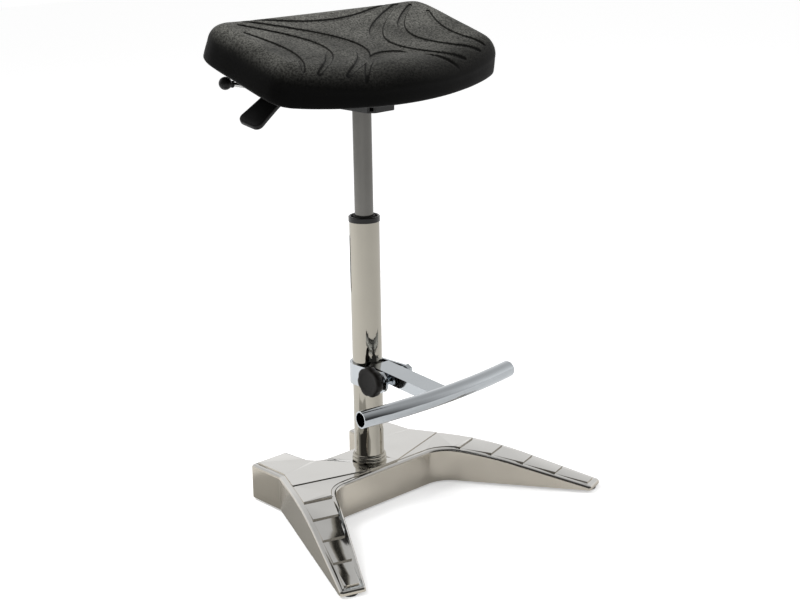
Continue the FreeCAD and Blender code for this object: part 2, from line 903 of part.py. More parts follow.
def seat_outline(height, side_inset, front_inset, rear_inset):
    """Closed outline of the cushion: straight sides, bowed front and rear, round corners."""
    half = seat_half_width - side_inset
    front_r = max(seat_front_corner - side_inset * 0.4, 10.0)
    rear_r = max(seat_rear_corner - side_inset * 0.4, 10.0)
    front = -(seat_front - front_inset) + seat_shift
    rear = seat_rear - rear_inset + seat_shift
    front_side = front + seat_front_bulge
    rear_side = rear - seat_rear_bulge
    root = math.sqrt(0.5)

    def at(x, v):
        return vec(x, v, height)

    front_in = half - front_r
    rear_in = half - rear_r
    front_mid = at(half - front_r * (1 - root), front_side + front_r * (1 - root) * 0.8)
    rear_mid = at(half - rear_r * (1 - root), rear_side - rear_r * (1 - root))
    front_a = at(front_in, front_side - front_r * 0.02)
    front_b = at(half, front_side + front_r)
    rear_a = at(half, rear_side - rear_r)
    rear_b = at(rear_in, rear_side)

    def flip(point):
        return vec(-point.x, point.y, point.z)

    edges = [
        Part.Arc(flip(front_a), at(0, front), front_a).toShape(),
        Part.Arc(front_a, front_mid, front_b).toShape(),
        Part.LineSegment(front_b, rear_a).toShape(),
        Part.Arc(rear_a, rear_mid, rear_b).toShape(),
        Part.Arc(rear_b, at(0, rear), flip(rear_b)).toShape(),
        Part.Arc(flip(rear_b), flip(rear_mid), flip(rear_a)).toShape(),
        Part.LineSegment(flip(rear_a), flip(front_b)).toShape(),
        Part.Arc(flip(front_b), flip(front_mid), flip(front_a)).toShape(),
    ]
    return Part.Wire(edges)


# Cushion sections: share of the thickness, then how far the sides, front and rear draw in
cushion_sections = [
    (0.00, 3.0, 3.0, 3.0),
    (0.16, 0.0, 0.0, 0.0),
    (0.52, 1.0, 2.0, 1.5),
    (0.74, 6.0, 11.0, 7.0),
    (0.90, 17.0, 29.0, 18.0),
    (1.00, 32.0, 52.0, 32.0),
]


def cushion_body(lowered):
    """Crowned cushion with drawn-in sides and a shallow dish across, its top lowered."""
    wires = []
    for share, side, front, rear in cushion_sections:
        wires.append(seat_outline(seat_plane + share * seat_thickness, side, front, rear))
    body = Part.makeLoft(wires, True, False)
    dish_radius = (seat_dish_half_width ** 2 + seat_dish ** 2) / (2 * seat_dish)
    low = seat_plane + seat_thickness - seat_dish - lowered
    dish = Part.makeCylinder(dish_radius, 3 * seat_rear, vec(0, -1.5 * seat_rear, low + dish_radius), Y_AXIS)
    return body.cut(dish)


# Channels across the cushion's top: three pairs bow in from the sides, one from the rear
# and one from the front. Each has the middle of its bow, then its rear and front ends.
side_channels = [
    (157.0, (178.0, 66.0), (174.0, -64.0)),
    (92.0, (166.0, 93.0), (156.0, -72.0)),
    (32.0, (148.0, 107.0), (120.0, -84.0)),
]
rear_channel = (84.0, (128.0, 113.0))
front_channel = (-36.0, (90.0, -92.0))


def channel_curve(start, bow, end):
    """Smooth curve from one end to the other whose middle passes the bow point."""
    control = vec((bow.x - (start.x + end.x) / 8) * 4 / 3, (bow.y - (start.y + end.y) / 8) * 4 / 3)
    lean = end.sub(start).multiply(0.12)
    curve = Part.BezierCurve()
    curve.setPoles([start, control.sub(lean), control.add(lean), end])
    return curve


def channel_cutter(curve):
    """Upright slab along a curve, widest at its middle, with round ends."""
    steps = 10
    left = []
    right = []
    for step in range(steps + 1):
        share = step / steps
        point = curve.value(share)
        along = curve.tangent(share)[0].normalize()
        width = groove_end_width + (groove_width - groove_end_width) * math.sin(math.pi * share)
        across = vec(-along.y, along.x).multiply(width / 2)
        left.append(point.add(across))
        right.append(point.sub(across))
    sides = []
    for points in (left, right):
        spline = Part.BSplineCurve()
        spline.interpolate(points)
        sides.append(spline.toShape())
    first = curve.value(0).sub(curve.tangent(0)[0].normalize().multiply(groove_end_width / 2))
    last = curve.value(1).add(curve.tangent(1)[0].normalize().multiply(groove_end_width / 2))
    caps = [Part.Arc(left[0], first, right[0]).toShape(), Part.Arc(left[-1], last, right[-1]).toShape()]
    wire = Part.Wire(Part.__sortEdges__(sides + caps))
    slab = Part.Face(wire).extrude(vec(0, 0, 3 * seat_thickness))
    slab.translate(vec(0, seat_shift, seat_plane))
    return slab


def channel_curves():
    curves = []
    for bow, rear_end, front_end in side_channels:
        for side in (-1, 1):
            start = vec(side * rear_end[0], rear_end[1])
            end = vec(side * front_end[0], front_end[1])
            middle = vec(side * bow, (rear_end[1] + front_end[1]) / 2)
            curves.append(channel_curve(start, middle, end))
    for bow, end in (rear_channel, front_channel):
        curves.append(channel_curve(vec(-end[0], end[1]), vec(0, bow), vec(end[0], end[1])))
    return curves


def seat_cushion():
    body = cushion_body(0.0)
    inner = cushion_body(groove_depth)
    for curve in channel_curves():
        body = body.cut(channel_cutter(curve).cut(inner))
    recess = rounded_plate(seat_half_width - recess_margin, (seat_front + seat_rear) / 2 - recess_margin,
                           board_corner, seat_plane - 1, board_low)
    recess.translate(vec(0, (seat_rear - seat_front) / 2 + seat_shift, 0))
    body = body.cut(recess)
    pocket = rounded_plate(board_half_width, board_half_depth, board_corner, board_low - 1,
                           board_low + board_thickness)
    pocket.translate(vec(0, seat_shift, 0))
    return place_seat(body.cut(pocket))


def seat_board():
    board = rounded_plate(board_half_width, board_half_depth, board_corner, board_low,
                          board_low + board_thickness)
    board.translate(vec(0, seat_shift, 0))
    for x, v in screw_places():
        board = board.cut(post(seat_screw_radius, board_low - 1, board_low + board_thickness + 1, x, v))
    return place_seat(board)


def screw_places():
    return [(sx * seat_screw_x, sv * seat_screw_v) for sx in (-1, 1) for sv in (-1, 1)]


def seat_plate():
    plate = rounded_plate(plate_half_width, plate_half_depth, plate_corner, plate_low, board_low)
    for x, v in screw_places():
        plate = plate.cut(post(seat_screw_radius, plate_low - 1, board_low + 1, x, v))
    return place_seat(plate)


def seat_screws():
    screws = []
    for x, v in screw_places():
        shank = post(seat_screw_radius, plate_low, board_low + board_thickness, x, v)
        head = post(seat_screw_head, plate_low - seat_screw_head_height, plate_low, x, v)
        head = head.makeChamfer(seat_screw_chamfer, [e for e in head.Edges if e.BoundBox.ZMax < plate_low - 0.1])
        screws.append(place_seat(head.fuse(shank).removeSplitter()))
    return Part.Compound(screws)


def seat_bracket():
    """Folded bracket under the seat plate, with two cheeks on the pivot bolts."""
    low, high = bracket_cheeks()
    roof = box(-high, high, -bracket_front, bracket_rear, bracket_roof, bracket_top)
    shape = roof
    for side in (-1, 1):
        corners = [
            vec(low, -bracket_cheek_front, bracket_top),
            vec(low, -bracket_cheek_drop, -bracket_cheek_drop),
            vec(low, bracket_cheek_drop, -bracket_cheek_drop),
            vec(low, bracket_cheek_rear, bracket_top),
        ]
        corners.append(corners[0])
        cheek = Part.Face(Part.makePolygon(corners)).extrude(vec(high - low, 0, 0))
        cheek = cheek.cut(along_x(pivot_bolt_radius + running_fit, 0, hole_reach, 0, 0))
        shape = shape.fuse(cheek if side > 0 else mirrored(cheek))
    rod_height = lever_z - pivot_height
    window = box(-high - 1, -low + 1, window_middle - window_half_width, window_middle + window_half_width,
                 rod_height - window_half_height, rod_height + window_half_height)
    window = window.makeFillet(window_radius, [e for e in window.Edges if e.BoundBox.XLength > 2])
    return place_seat(shape.cut(window).removeSplitter())


def tilt_sector():
    """Flat plate under the bracket that the brake pad holds."""
    half = sector_thickness / 2
    plate = box(-half, half, sector_inner, sector_outer, -sector_drop, bracket_roof)
    return place_seat(plate)


# Footrest

strap_inner = tube_radius + strap_play
strap_outer = strap_inner + strap_thickness
strap_low = strap_middle - strap_height / 2
strap_high = strap_middle + strap_height / 2
knob_face = -(strap_outer + washer_thickness + knob_hub_length)
stud_height = strap_middle + stud_rise


def clamp_strap():
    """Flat strap bent round the tube, its two straight ends rounded and drilled."""
    band = ring(strap_outer, strap_inner, strap_low, strap_high)
    band = band.cut(box(-strap_outer - 1, strap_outer + 1, -strap_outer - 1, 0, strap_low - 1, strap_high + 1))
    for side in (-1, 1):
        low_x = strap_inner if side > 0 else -strap_outer
        leaf = box(low_x, low_x + strap_thickness, -strap_reach, 0, strap_low, strap_high)
        end = along_x(strap_height / 2, low_x, low_x + strap_thickness, -strap_reach, strap_middle)
        leaf = leaf.fuse(end)
        band = band.fuse(leaf)
    band = band.cut(along_x(stud_radius + stud_fit, -hole_reach, hole_reach, -strap_reach, stud_height))
    return band.removeSplitter()


def arm_top(reach):
    return arm_rear_top - (reach - arm_rear_reach) * math.tan(math.radians(arm_slope))


def footrest_bar_path():
    """Arc of the footrest bar, bowed forward."""
    left = vec(-bar_half_length, -bar_end_reach, bar_height)
    middle = vec(0, -bar_end_reach - bar_bow, bar_height)
    right = vec(bar_half_length, -bar_end_reach, bar_height)
    return Part.Arc(left, middle, right)


def swept_round(radius):
    path = footrest_bar_path()
    start = path.StartPoint
    circle = Part.makeCircle(radius, start, path.tangent(path.FirstParameter)[0])
    return Part.Wire([path.toShape()]).makePipeShell([Part.Wire([circle])], True, False)


def footrest_bar():
    """Open-ended round tube, bent to a shallow arc."""
    return swept_round(bar_radius).cut(swept_round(bar_radius - bar_wall)).removeSplitter()


def footrest_arm():
    """Rectangular tube from the clamp down to the bar, its end fitted round the bar."""
    bar_middle = bar_end_reach + bar_bow
    start_z = arm_top(arm_start) - arm_height
    end_z = arm_top(bar_middle) - arm_height

    def slab(half, wall):
        points = [
            vec(-half, -arm_start, start_z + wall),
            vec(-half, -bar_middle, end_z + wall),
            vec(-half, -bar_middle, end_z + arm_height - wall),
            vec(-half, -arm_start, start_z + arm_height - wall),
        ]
        points.append(points[0])
        return Part.Face(Part.makePolygon(points)).extrude(vec(2 * half, 0, 0))

    arm = slab(arm_half_width, 0.0).cut(slab(arm_half_width - arm_wall, arm_wall))
    stud_hole = along_x(stud_radius + stud_fit, -hole_reach, hole_reach, -strap_reach, stud_height)
    return arm.cut(swept_round(bar_radius)).cut(stud_hole).removeSplitter()


def clamp_spacers():
    """Sleeves on the stud between the arm and the strap's ends."""
    solids = []
    bore = stud_radius + stud_fit
    for low, high in ((-strap_inner, -arm_half_width), (arm_half_width, strap_inner)):
        sleeve = along_x(spacer_radius, low, high, -strap_reach, stud_height)
        solids.append(sleeve.cut(along_x(bore, low - 1, high + 1, -strap_reach, stud_height)))
    return Part.Compound(solids)


def clamp_saddle():
    """Block in the arm's end, hollowed to sit against the tube."""
    saddle_reach = arm_start + saddle_plug
    low = arm_top(saddle_reach) - arm_height + arm_wall
    high = arm_top(arm_start) - arm_wall
    block = box(-saddle_half_width, saddle_half_width, -arm_start, -tube_radius + saddle_hook,
                low - saddle_lip, high)
    plug = box(-arm_half_width + arm_wall, arm_half_width - arm_wall, -saddle_reach, -arm_start,
               low, high - saddle_step)
    plug = plug.common(footrest_arm_hollow())
    return block.fuse(plug).cut(post(tube_radius + saddle_play, 0, tube_top)).removeSplitter()


def footrest_arm_hollow():
    reach = arm_start + hollow_reach
    half = arm_half_width - arm_wall
    points = []
    for distance, top in ((arm_start, False), (reach, False), (reach, True), (arm_start, True)):
        height = arm_top(distance) - arm_wall if top else arm_top(distance) - arm_height + arm_wall
        points.append(vec(-half, -distance, height))
    points.append(points[0])
    return Part.Face(Part.makePolygon(points)).extrude(vec(2 * half, 0, 0))


def clamp_stud():
    """Threaded stud moulded in the knob, through the strap, the spacers and the arm."""
    low = knob_face - stud_in_knob
    high = strap_outer + nut_height + stud_past_nut
    return along_x(stud_radius, low, high, -strap_reach, stud_height)


def clamp_washer():
    low = -strap_outer - washer_thickness
    disc = along_x(washer_radius, low, -strap_outer - lever_play, -strap_reach, stud_height)
    return disc.cut(along_x(stud_radius, low - 1, 0, -strap_reach, stud_height))


def clamp_nut():
    nut = hexagon_x(nut_radius, strap_outer, strap_outer + nut_height, -strap_reach, stud_height)
    return nut.cut(along_x(stud_radius + running_fit, strap_outer - 1, strap_outer + nut_height + 1,
                           -strap_reach, stud_height))


def clamp_knob():
    """Lobed knob: a round head with shallow scallops, a domed face and a narrower hub."""
    front = knob_face - knob_head_length
    points = [
        vec(front - knob_dome, 0, 0),
        vec(front, 0, knob_radius - knob_edge),
        vec(front + knob_edge, 0, knob_radius),
        vec(knob_face - knob_edge, 0, knob_radius - knob_back_taper),
        vec(knob_face, 0, knob_hub_radius + knob_back_taper),
        vec(knob_face + knob_hub_length, 0, knob_hub_radius),
        vec(knob_face + knob_hub_length, 0, 0),
    ]
    dome_mid = vec(front - knob_dome * 0.75, 0, (knob_radius - knob_edge) * 0.5)
    edge_bulge = knob_edge * (1 - math.sqrt(0.5))
    edges = [Part.Arc(points[0], dome_mid, points[1]).toShape()]
    edges.append(Part.Arc(points[1], vec(front + edge_bulge, 0, knob_radius - edge_bulge), points[2]).toShape())
    for a, b in zip(points[2:-1], points[3:]):
        edges.append(Part.LineSegment(a, b).toShape())
    edges.append(Part.LineSegment(points[-1], points[0]).toShape())
    knob = Part.Face(Part.Wire(edges)).revolve(ORIGIN, X_AXIS, 360)
    pitch = 2 * math.pi / knob_lobes
    scallop = knob_radius * math.sin(pitch / 2) * 0.55
    offset = knob_radius - knob_lobe_depth + scallop
    for step in range(knob_lobes):
        angle = pitch * (step + 0.5)
        y = offset * math.cos(angle)
        z = offset * math.sin(angle)
        knob = knob.cut(along_x(scallop, front - 2 * knob_dome, knob_face - 0.5, y, z))
    knob.translate(vec(0, -strap_reach, stud_height))
    hole = clamp_stud()
    return knob.cut(hole).removeSplitter()


# Nodes, in the order that the stool goes together
PIECES = {
    "base_casting": base_casting,
    "floor_pads": floor_pads,
    "column_tube": column_tube,
    "column_foot_ring": column_foot_ring,
    "column_collar": column_collar,
    "guide_bushing": guide_bushing,
    "rod_wiper": rod_wiper,
    "column_end_plate": column_end_plate,
    "column_bolts": column_bolts,
    "bearing_lower_race": bearing_lower_race,
    "bearing_balls": bearing_balls,
    "bearing_upper_race": bearing_upper_race,
    "rubber_buffer": rubber_buffer,
    "rod_clip": rod_clip,
    "piston_rod": piston_rod,
    "piston": piston,
    "gas_spring_cylinder": gas_spring_cylinder,
    "cylinder_end_guide": cylinder_end_guide,
    "release_pin": release_pin,
    "mechanism_housing": mechanism_housing,
    "cone_socket": cone_socket,
    "lever_ears": lever_ears,
    "lever_pins": lever_pins,
    "pivot_bolts": pivot_bolts,
    "pivot_nuts": pivot_nuts,
    "brake_pad": brake_pad,
    "height_lever_rod": height_lever_rod,
    "height_lever_paddle": height_lever_paddle,
    "tilt_lever_rod": tilt_lever_rod,
    "tilt_lever_knob": tilt_lever_knob,
    "seat_bracket": seat_bracket,
    "tilt_sector": tilt_sector,
    "seat_plate": seat_plate,
    "seat_screws": seat_screws,
    "seat_board": seat_board,
    "seat_cushion": seat_cushion,
    "clamp_strap": clamp_strap,
    "clamp_saddle": clamp_saddle,
    "clamp_spacers": clamp_spacers,
    "clamp_nut": clamp_nut,
    "footrest_arm": footrest_arm,
    "footrest_bar": footrest_bar,
    "clamp_stud": clamp_stud,
    "clamp_washer": clamp_washer,
    "clamp_knob": clamp_knob,
}


def main():
    os.makedirs("parts", exist_ok=True)
    for name, build in PIECES.items():
        shape = build()
        shape.translate(vec(0, column_y, 0))
        shape.exportStep(os.path.join("parts", name + ".step"))
        size = shape.BoundBox
        print(name, "solids", len(shape.Solids), "valid", shape.isValid(),
              "volume", round(shape.Volume / 1000, 1),
              "box", [round(v, 1) for v in (size.XMin, size.XMax, size.YMin, size.YMax, size.ZMin, size.ZMax)])


main()
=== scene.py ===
import logging
import math
from collections.abc import Callable
from dataclasses import dataclass, field
from enum import Enum

import bpy
import numpy
from mathutils import Matrix, Vector


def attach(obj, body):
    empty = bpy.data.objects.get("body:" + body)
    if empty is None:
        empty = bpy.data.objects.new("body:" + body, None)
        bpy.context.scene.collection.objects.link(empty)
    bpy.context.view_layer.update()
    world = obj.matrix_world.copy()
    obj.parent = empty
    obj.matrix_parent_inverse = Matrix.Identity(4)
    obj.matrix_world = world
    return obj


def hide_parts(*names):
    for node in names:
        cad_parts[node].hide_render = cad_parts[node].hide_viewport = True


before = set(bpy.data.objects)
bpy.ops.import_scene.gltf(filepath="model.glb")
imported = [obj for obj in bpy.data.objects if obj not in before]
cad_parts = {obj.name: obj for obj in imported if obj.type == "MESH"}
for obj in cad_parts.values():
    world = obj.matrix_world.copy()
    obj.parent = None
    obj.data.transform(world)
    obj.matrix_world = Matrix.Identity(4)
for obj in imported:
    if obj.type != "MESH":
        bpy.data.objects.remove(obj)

log = logging.getLogger("perch_stool")

Socket = bpy.types.NodeSocket
Pair = tuple[float, float]
Triple = tuple[float, float, float]
Value = Socket | float | Triple

MM = 0.001
COLUMN_Y = 60.77
WALL_NORMAL_Z = 0.35
TOP_NORMAL_Z = 0.8
NOISE_LOW = 0.3
NOISE_HIGH = 0.7
TOUCH = 1e-5


class Body(Enum):
    """The moving groups that the new pieces ride on."""

    BASE = "base"
    LIFT = "lift"
    HEIGHT_LEVER = "height_lever"
    TILT_LEVER = "tilt_lever"
    SEAT = "seat"
    FOOTREST = "footrest"
    KNOB = "footrest_knob"


class Along(Enum):
    """Which way a drawn or turned surface carries its fine lines."""

    X = (1.0, 40.0, 40.0)
    Z = (40.0, 40.0, 1.0)
    NONE = (1.0, 1.0, 1.0)


# Materials


class Nodes:
    """A node tree, with short calls for what the finishes and the surround share."""

    def __init__(self, tree: bpy.types.NodeTree) -> None:
        """Takes the tree to add to.

        Args:
            tree: A material's or the world's node tree.
        """
        self.tree = tree

    def add(self, kind: str) -> bpy.types.Node:
        """Adds a node.

        Args:
            kind: Its type, without the words that every type starts with.

        Returns:
            The node.
        """
        return self.tree.nodes.new("ShaderNode" + kind)

    def feed(self, socket: Socket, value: Value) -> None:
        """Links a socket to where its value comes from, or sets a plain value on it.

        Args:
            socket: The socket to feed.
            value: Another node's output, a number, a vector or a colour.
        """
        if isinstance(value, Socket):
            self.tree.links.new(value, socket)
        else:
            socket.default_value = (*value, 1.0) if socket.type == "RGBA" else value

    def remap(self, value: Socket, low: float, high: float, to_low: float, to_high: float) -> Socket:
        """Stretches a value from one range to another, held at the ends.

        Args:
            value: The value to stretch.
            low: Start of its range.
            high: End of its range.
            to_low: Result at the start.
            to_high: Result at the end.

        Returns:
            The stretched value.
        """
        node = self.add("MapRange")
        for name, number in (("From Min", low), ("From Max", high), ("To Min", to_low), ("To Max", to_high),
                             ("Value", value)):
            self.feed(node.inputs[name], number)
        return node.outputs["Result"]

    def spread(self, noise: Socket, low: float, high: float) -> Socket:
        """Spreads noise, which keeps near its middle, over a range.

        Args:
            noise: The noise.
            low: Result at the noise's usual low.
            high: Result at its usual high.

        Returns:
            The spread value.
        """
        return self.remap(noise, NOISE_LOW, NOISE_HIGH, low, high)

    def math(self, operation: str, first: Value, second: Value) -> Socket:
        """Combines two values.

        Args:
            operation: The sum to make, such as MULTIPLY.
            first: First value.
            second: Second value.

        Returns:
            The result.
        """
        node = self.add("Math")
        node.operation = operation
        self.feed(node.inputs[0], first)
        self.feed(node.inputs[1], second)
        return node.outputs["Value"]

    def mix(self, factor: Socket, first: Value, second: Value, kind: str = "RGBA") -> Socket:
        """Blends two colours or numbers.

        Args:
            factor: Share of the second one.
            first: What shows at 0.
            second: What shows at 1.
            kind: RGBA for colours, VALUE for numbers.

        Returns:
            The blend.
        """
        node = self.add("Mix")
        node.data_type = "FLOAT" if kind == "VALUE" else kind
        self.feed(node.inputs["Factor"], factor)
        ends = [socket for socket in node.inputs if socket.type == kind and socket.name in ("A", "B")]
        for socket, value in zip(ends, (first, second)):
            self.feed(socket, value)
        return [socket for socket in node.outputs if socket.type == kind][0]


class Shader(Nodes):
    """A material with its principled surface and its coordinates in millimetres."""

    def __init__(self, name: str) -> None:
        """Starts the material.

        Args:
            name: The material's name.
        """
        self.material = bpy.data.materials.new(name)
        self.material.use_nodes = True
        super().__init__(self.material.node_tree)
        self.surface = self.tree.nodes["Principled BSDF"]
        self.millimetres = self.scaled(self.add("TexCoord").outputs["Object"], (1000.0, 1000.0, 1000.0))

    def scaled(self, source: Socket, scale: Triple) -> Socket:
        """Scales coordinates.

        Args:
            source: The coordinates to start from.
            scale: Factors on the three axes.

        Returns:
            The scaled coordinates.
        """
        node = self.add("Mapping")
        self.feed(node.inputs["Scale"], scale)
        self.feed(node.inputs["Vector"], source)
        return node.outputs["Vector"]

    def set(self, **values: Value) -> None:
        """Feeds the principled shader's own sockets, an underscore standing for a space.

        Args:
            values: Socket names and their values.
        """
        for name, value in values.items():
            self.feed(self.surface.inputs[name.replace("_", " ")], value)

    def noise(self, scale: float, detail: float, roughness: float = 0.5,
              vector: Socket | None = None) -> Socket:
        """Adds fractal noise.

        Args:
            scale: Features per millimetre.
            detail: Number of finer layers.
            roughness: Strength of the finer layers.
            vector: Coordinates, where they aren't the plain ones in millimetres.

        Returns:
            The noise's value.
        """
        node = self.add("TexNoise")
        for name, value in (("Scale", scale), ("Detail", detail), ("Roughness", roughness),
                            ("Vector", vector or self.millimetres)):
            self.feed(node.inputs[name], value)
        return node.outputs["Fac"]

    def cells(self, scale: float) -> Socket:
        """Adds rounded cells, as leather grain and pebbled skin have.

        Args:
            scale: Cells per millimetre.

        Returns:
            The distance from the cells' middles.
        """
        node = self.add("TexVoronoi")
        node.feature = "SMOOTH_F1"
        self.feed(node.inputs["Scale"], scale)
        self.feed(node.inputs["Vector"], self.millimetres)
        return node.outputs["Distance"]

    def steepness(self) -> Socket:
        """Tells tops from walls.

        Returns:
            1 where the surface faces up, 0 where it is upright or faces down.
        """
        split = self.add("SeparateXYZ")
        self.feed(split.inputs["Vector"], self.add("NewGeometry").outputs["True Normal"])
        return self.remap(split.outputs["Z"], WALL_NORMAL_Z, TOP_NORMAL_Z, 0.0, 1.0)

    def attribute(self, name: str) -> Socket:
        """Reads a value that the mesh carries.

        Args:
            name: The attribute's name.

        Returns:
            Its value.
        """
        node = self.add("Attribute")
        node.attribute_name = name
        return node.outputs["Fac"]

    def bump(self, height: Socket, distance: float, strength: float = 1.0) -> None:
        """Gives the surface its relief.

        Args:
            height: The relief's height, from 0 to 1.
            distance: Its depth in millimetres.
            strength: How much of it shows.
        """
        node = self.add("Bump")
        self.feed(node.inputs["Distance"], distance * MM)
        self.feed(node.inputs["Strength"], strength)
        self.feed(node.inputs["Height"], height)
        self.set(Normal=node.outputs["Normal"])


@dataclass(frozen=True)
class Metal:
    """A bare, polished, brushed or plated metal surface."""

    name: str
    colour: Triple
    shade: Triple
    smoothness: Pair
    lines: Along = Along.NONE
    line_depth: float = 0.0

    def build(self) -> bpy.types.Material:
        """Makes the metal.

        Returns:
            The material.
        """
        shader = Shader(self.name)
        shader.set(Metallic=1.0)
        clouds = shader.noise(0.02, 4.0)
        shader.set(Base_Color=shader.mix(clouds, self.colour, self.shade))
        grain = shader.scaled(shader.millimetres, self.lines.value)
        lines = shader.noise(0.08, 5.0, 0.6, grain)
        shader.set(Roughness=shader.spread(lines, *self.smoothness))
        if self.line_depth > 0:
            shader.bump(lines, self.line_depth)
        return shader.material


@dataclass(frozen=True)
class Casting:
    """Cast aluminium, polished bright on its tops and duller on its walls, whose darker, warmer colour is
    partly the cast finish and partly painted shade.
    """

    name: str = "polished_casting"
    wall: Triple = (0.52, 0.48, 0.41)
    wall_shade: Triple = (0.62, 0.575, 0.50)
    top: Triple = (0.74, 0.725, 0.695)
    top_shade: Triple = (0.80, 0.79, 0.765)
    wall_roughness: float = 0.20
    top_roughness: float = 0.07
    cloudiness: Pair = (-0.02, 0.03)
    cloud_scale: float = 0.025
    ripple: float = 0.04
    ripple_scale: float = 0.03

    def build(self) -> bpy.types.Material:
        """Makes the casting's surface.

        Returns:
            The material.
        """
        shader = Shader(self.name)
        shader.set(Metallic=1.0)
        clouds = shader.noise(self.cloud_scale, 4.0)
        polished = shader.steepness()
        # Walls get a darker, warmer colour than tops: partly the duller cast finish, partly painted shade
        # for the stool's shadow near the floor.
        walls = shader.mix(clouds, self.wall, self.wall_shade)
        tops = shader.mix(clouds, self.top, self.top_shade)
        shader.set(Base_Color=shader.mix(polished, walls, tops))
        cloudy = shader.spread(clouds, *self.cloudiness)
        rough = shader.remap(polished, 0.0, 1.0, self.wall_roughness, self.top_roughness)
        shader.set(Roughness=shader.math("ADD", cloudy, rough))
        shader.bump(shader.noise(self.ripple_scale, 2.0), self.ripple)
        return shader.material


@dataclass(frozen=True)
class Moulding:
    """A moulded plastic or rubber surface, plain or with a spark-eroded grain."""

    name: str
    colour: Triple
    wear_and_shade: Triple
    smoothness: Pair
    grain_size: float = 0.6
    grain_depth: float = 0.02
    coat: float = 0.0
    specular: float = 0.5

    def build(self) -> bpy.types.Material:
        """Makes the moulding's surface.

        Returns:
            The material.
        """
        shader = Shader(self.name)
        shader.set(Coat_Weight=self.coat, Coat_Roughness=0.06, Specular_IOR_Level=self.specular)
        clouds = shader.noise(0.06, 4.0)
        shader.set(Base_Color=shader.mix(clouds, self.colour, self.wear_and_shade))
        shader.set(Roughness=shader.spread(clouds, *self.smoothness))
        shader.bump(shader.noise(1.0 / self.grain_size, 3.0), self.grain_depth)
        return shader.material


@dataclass(frozen=True)
class PaintedSteel:
    """Powder-painted steel with a faint orange-peel surface."""

    name: str
    colour: Triple
    wear_and_sheen: Triple
    smoothness: Pair = (0.38, 0.5)
    peel_scale: float = 0.9
    peel_depth: float = 0.03

    def build(self) -> bpy.types.Material:
        """Makes the paint.

        Returns:
            The material.
        """
        shader = Shader(self.name)
        shader.set(Coat_Weight=0.2, Coat_Roughness=0.25)
        clouds = shader.noise(0.05, 5.0)
        shader.set(Base_Color=shader.mix(clouds, self.colour, self.wear_and_sheen))
        shader.set(Roughness=shader.spread(clouds, *self.smoothness))
        shader.bump(shader.cells(self.peel_scale), self.peel_depth, 0.5)
        return shader.material


@dataclass(frozen=True)
class CushionSkin:
    """Self-skinned polyurethane: pebbled on top, smoother down the sides, with a painted, mottled sheen on
    top and painted shade on the channel walls.
    """

    name: str = "cushion_skin"
    colour: Triple = (0.0018, 0.0018, 0.0016)
    # Painted sheen: the light grey that the top blends towards from the near-black skin.
    wear_and_sheen: Triple = (0.2300, 0.2270, 0.2060)
    cloud_scale: float = 0.018
    speckle_scale: float = 0.36
    speckle_range: Pair = (0.38, 0.62)
    least_cloud: float = 0.55
    least_speckle: float = 0.22
    # Painted shade on the channel walls.
    wall_range: Pair = (0.06, 0.20)
    wall_shade: float = 0.10
    side_roughness: float = 0.44
    top_roughness: float = 0.52
    specular: float = 0.05
    cell: float = 0.55
    depth: float = 0.26
    side_depth: float = 0.25
    full_crown: float = 0.7

    def build(self) -> bpy.types.Material:
        """Makes the skin, which reads the mesh's crown and channel attributes.

        Returns:
            The material.
        """
        shader = Shader(self.name)
        shader.set(Specular_IOR_Level=self.specular)
        clouds = shader.noise(self.cloud_scale, 4.0)
        speckle = shader.noise(self.speckle_scale, 2.0, 0.7)
        crown = shader.attribute("crown")
        channel = shader.attribute("channel")
        # Painted shade: the colour darkens on the channels' walls, most of all halfway down each wall.
        wall = shader.math("MULTIPLY", channel, shader.math("SUBTRACT", 1.0, channel))
        wear_and_shade = shader.math("MULTIPLY", shader.spread(clouds, self.least_cloud, 1.0),
                           shader.remap(speckle, *self.speckle_range, self.least_speckle, 1.0))
        wear_and_shade = shader.math("MULTIPLY", wear_and_shade, shader.remap(wall, *self.wall_range, 1.0, self.wall_shade))
        # Painted sheen: where the crown share is high, the colour blends towards light grey, mottled by
        # clouds and speckle.
        shader.set(Base_Color=shader.mix(shader.math("MULTIPLY", wear_and_shade, crown), self.colour, self.wear_and_sheen))
        rough = shader.math("ADD", shader.spread(speckle, -0.05, 0.05),
                            shader.remap(crown, 0.0, 1.0, self.side_roughness, self.top_roughness))
        shader.set(Roughness=rough)
        pebbles = shader.cells(self.cell)
        strength = shader.remap(crown, 0.0, self.full_crown, self.side_depth, 1.0)
        shader.bump(shader.math("MULTIPLY", pebbles, strength), self.depth)
        return shader.material


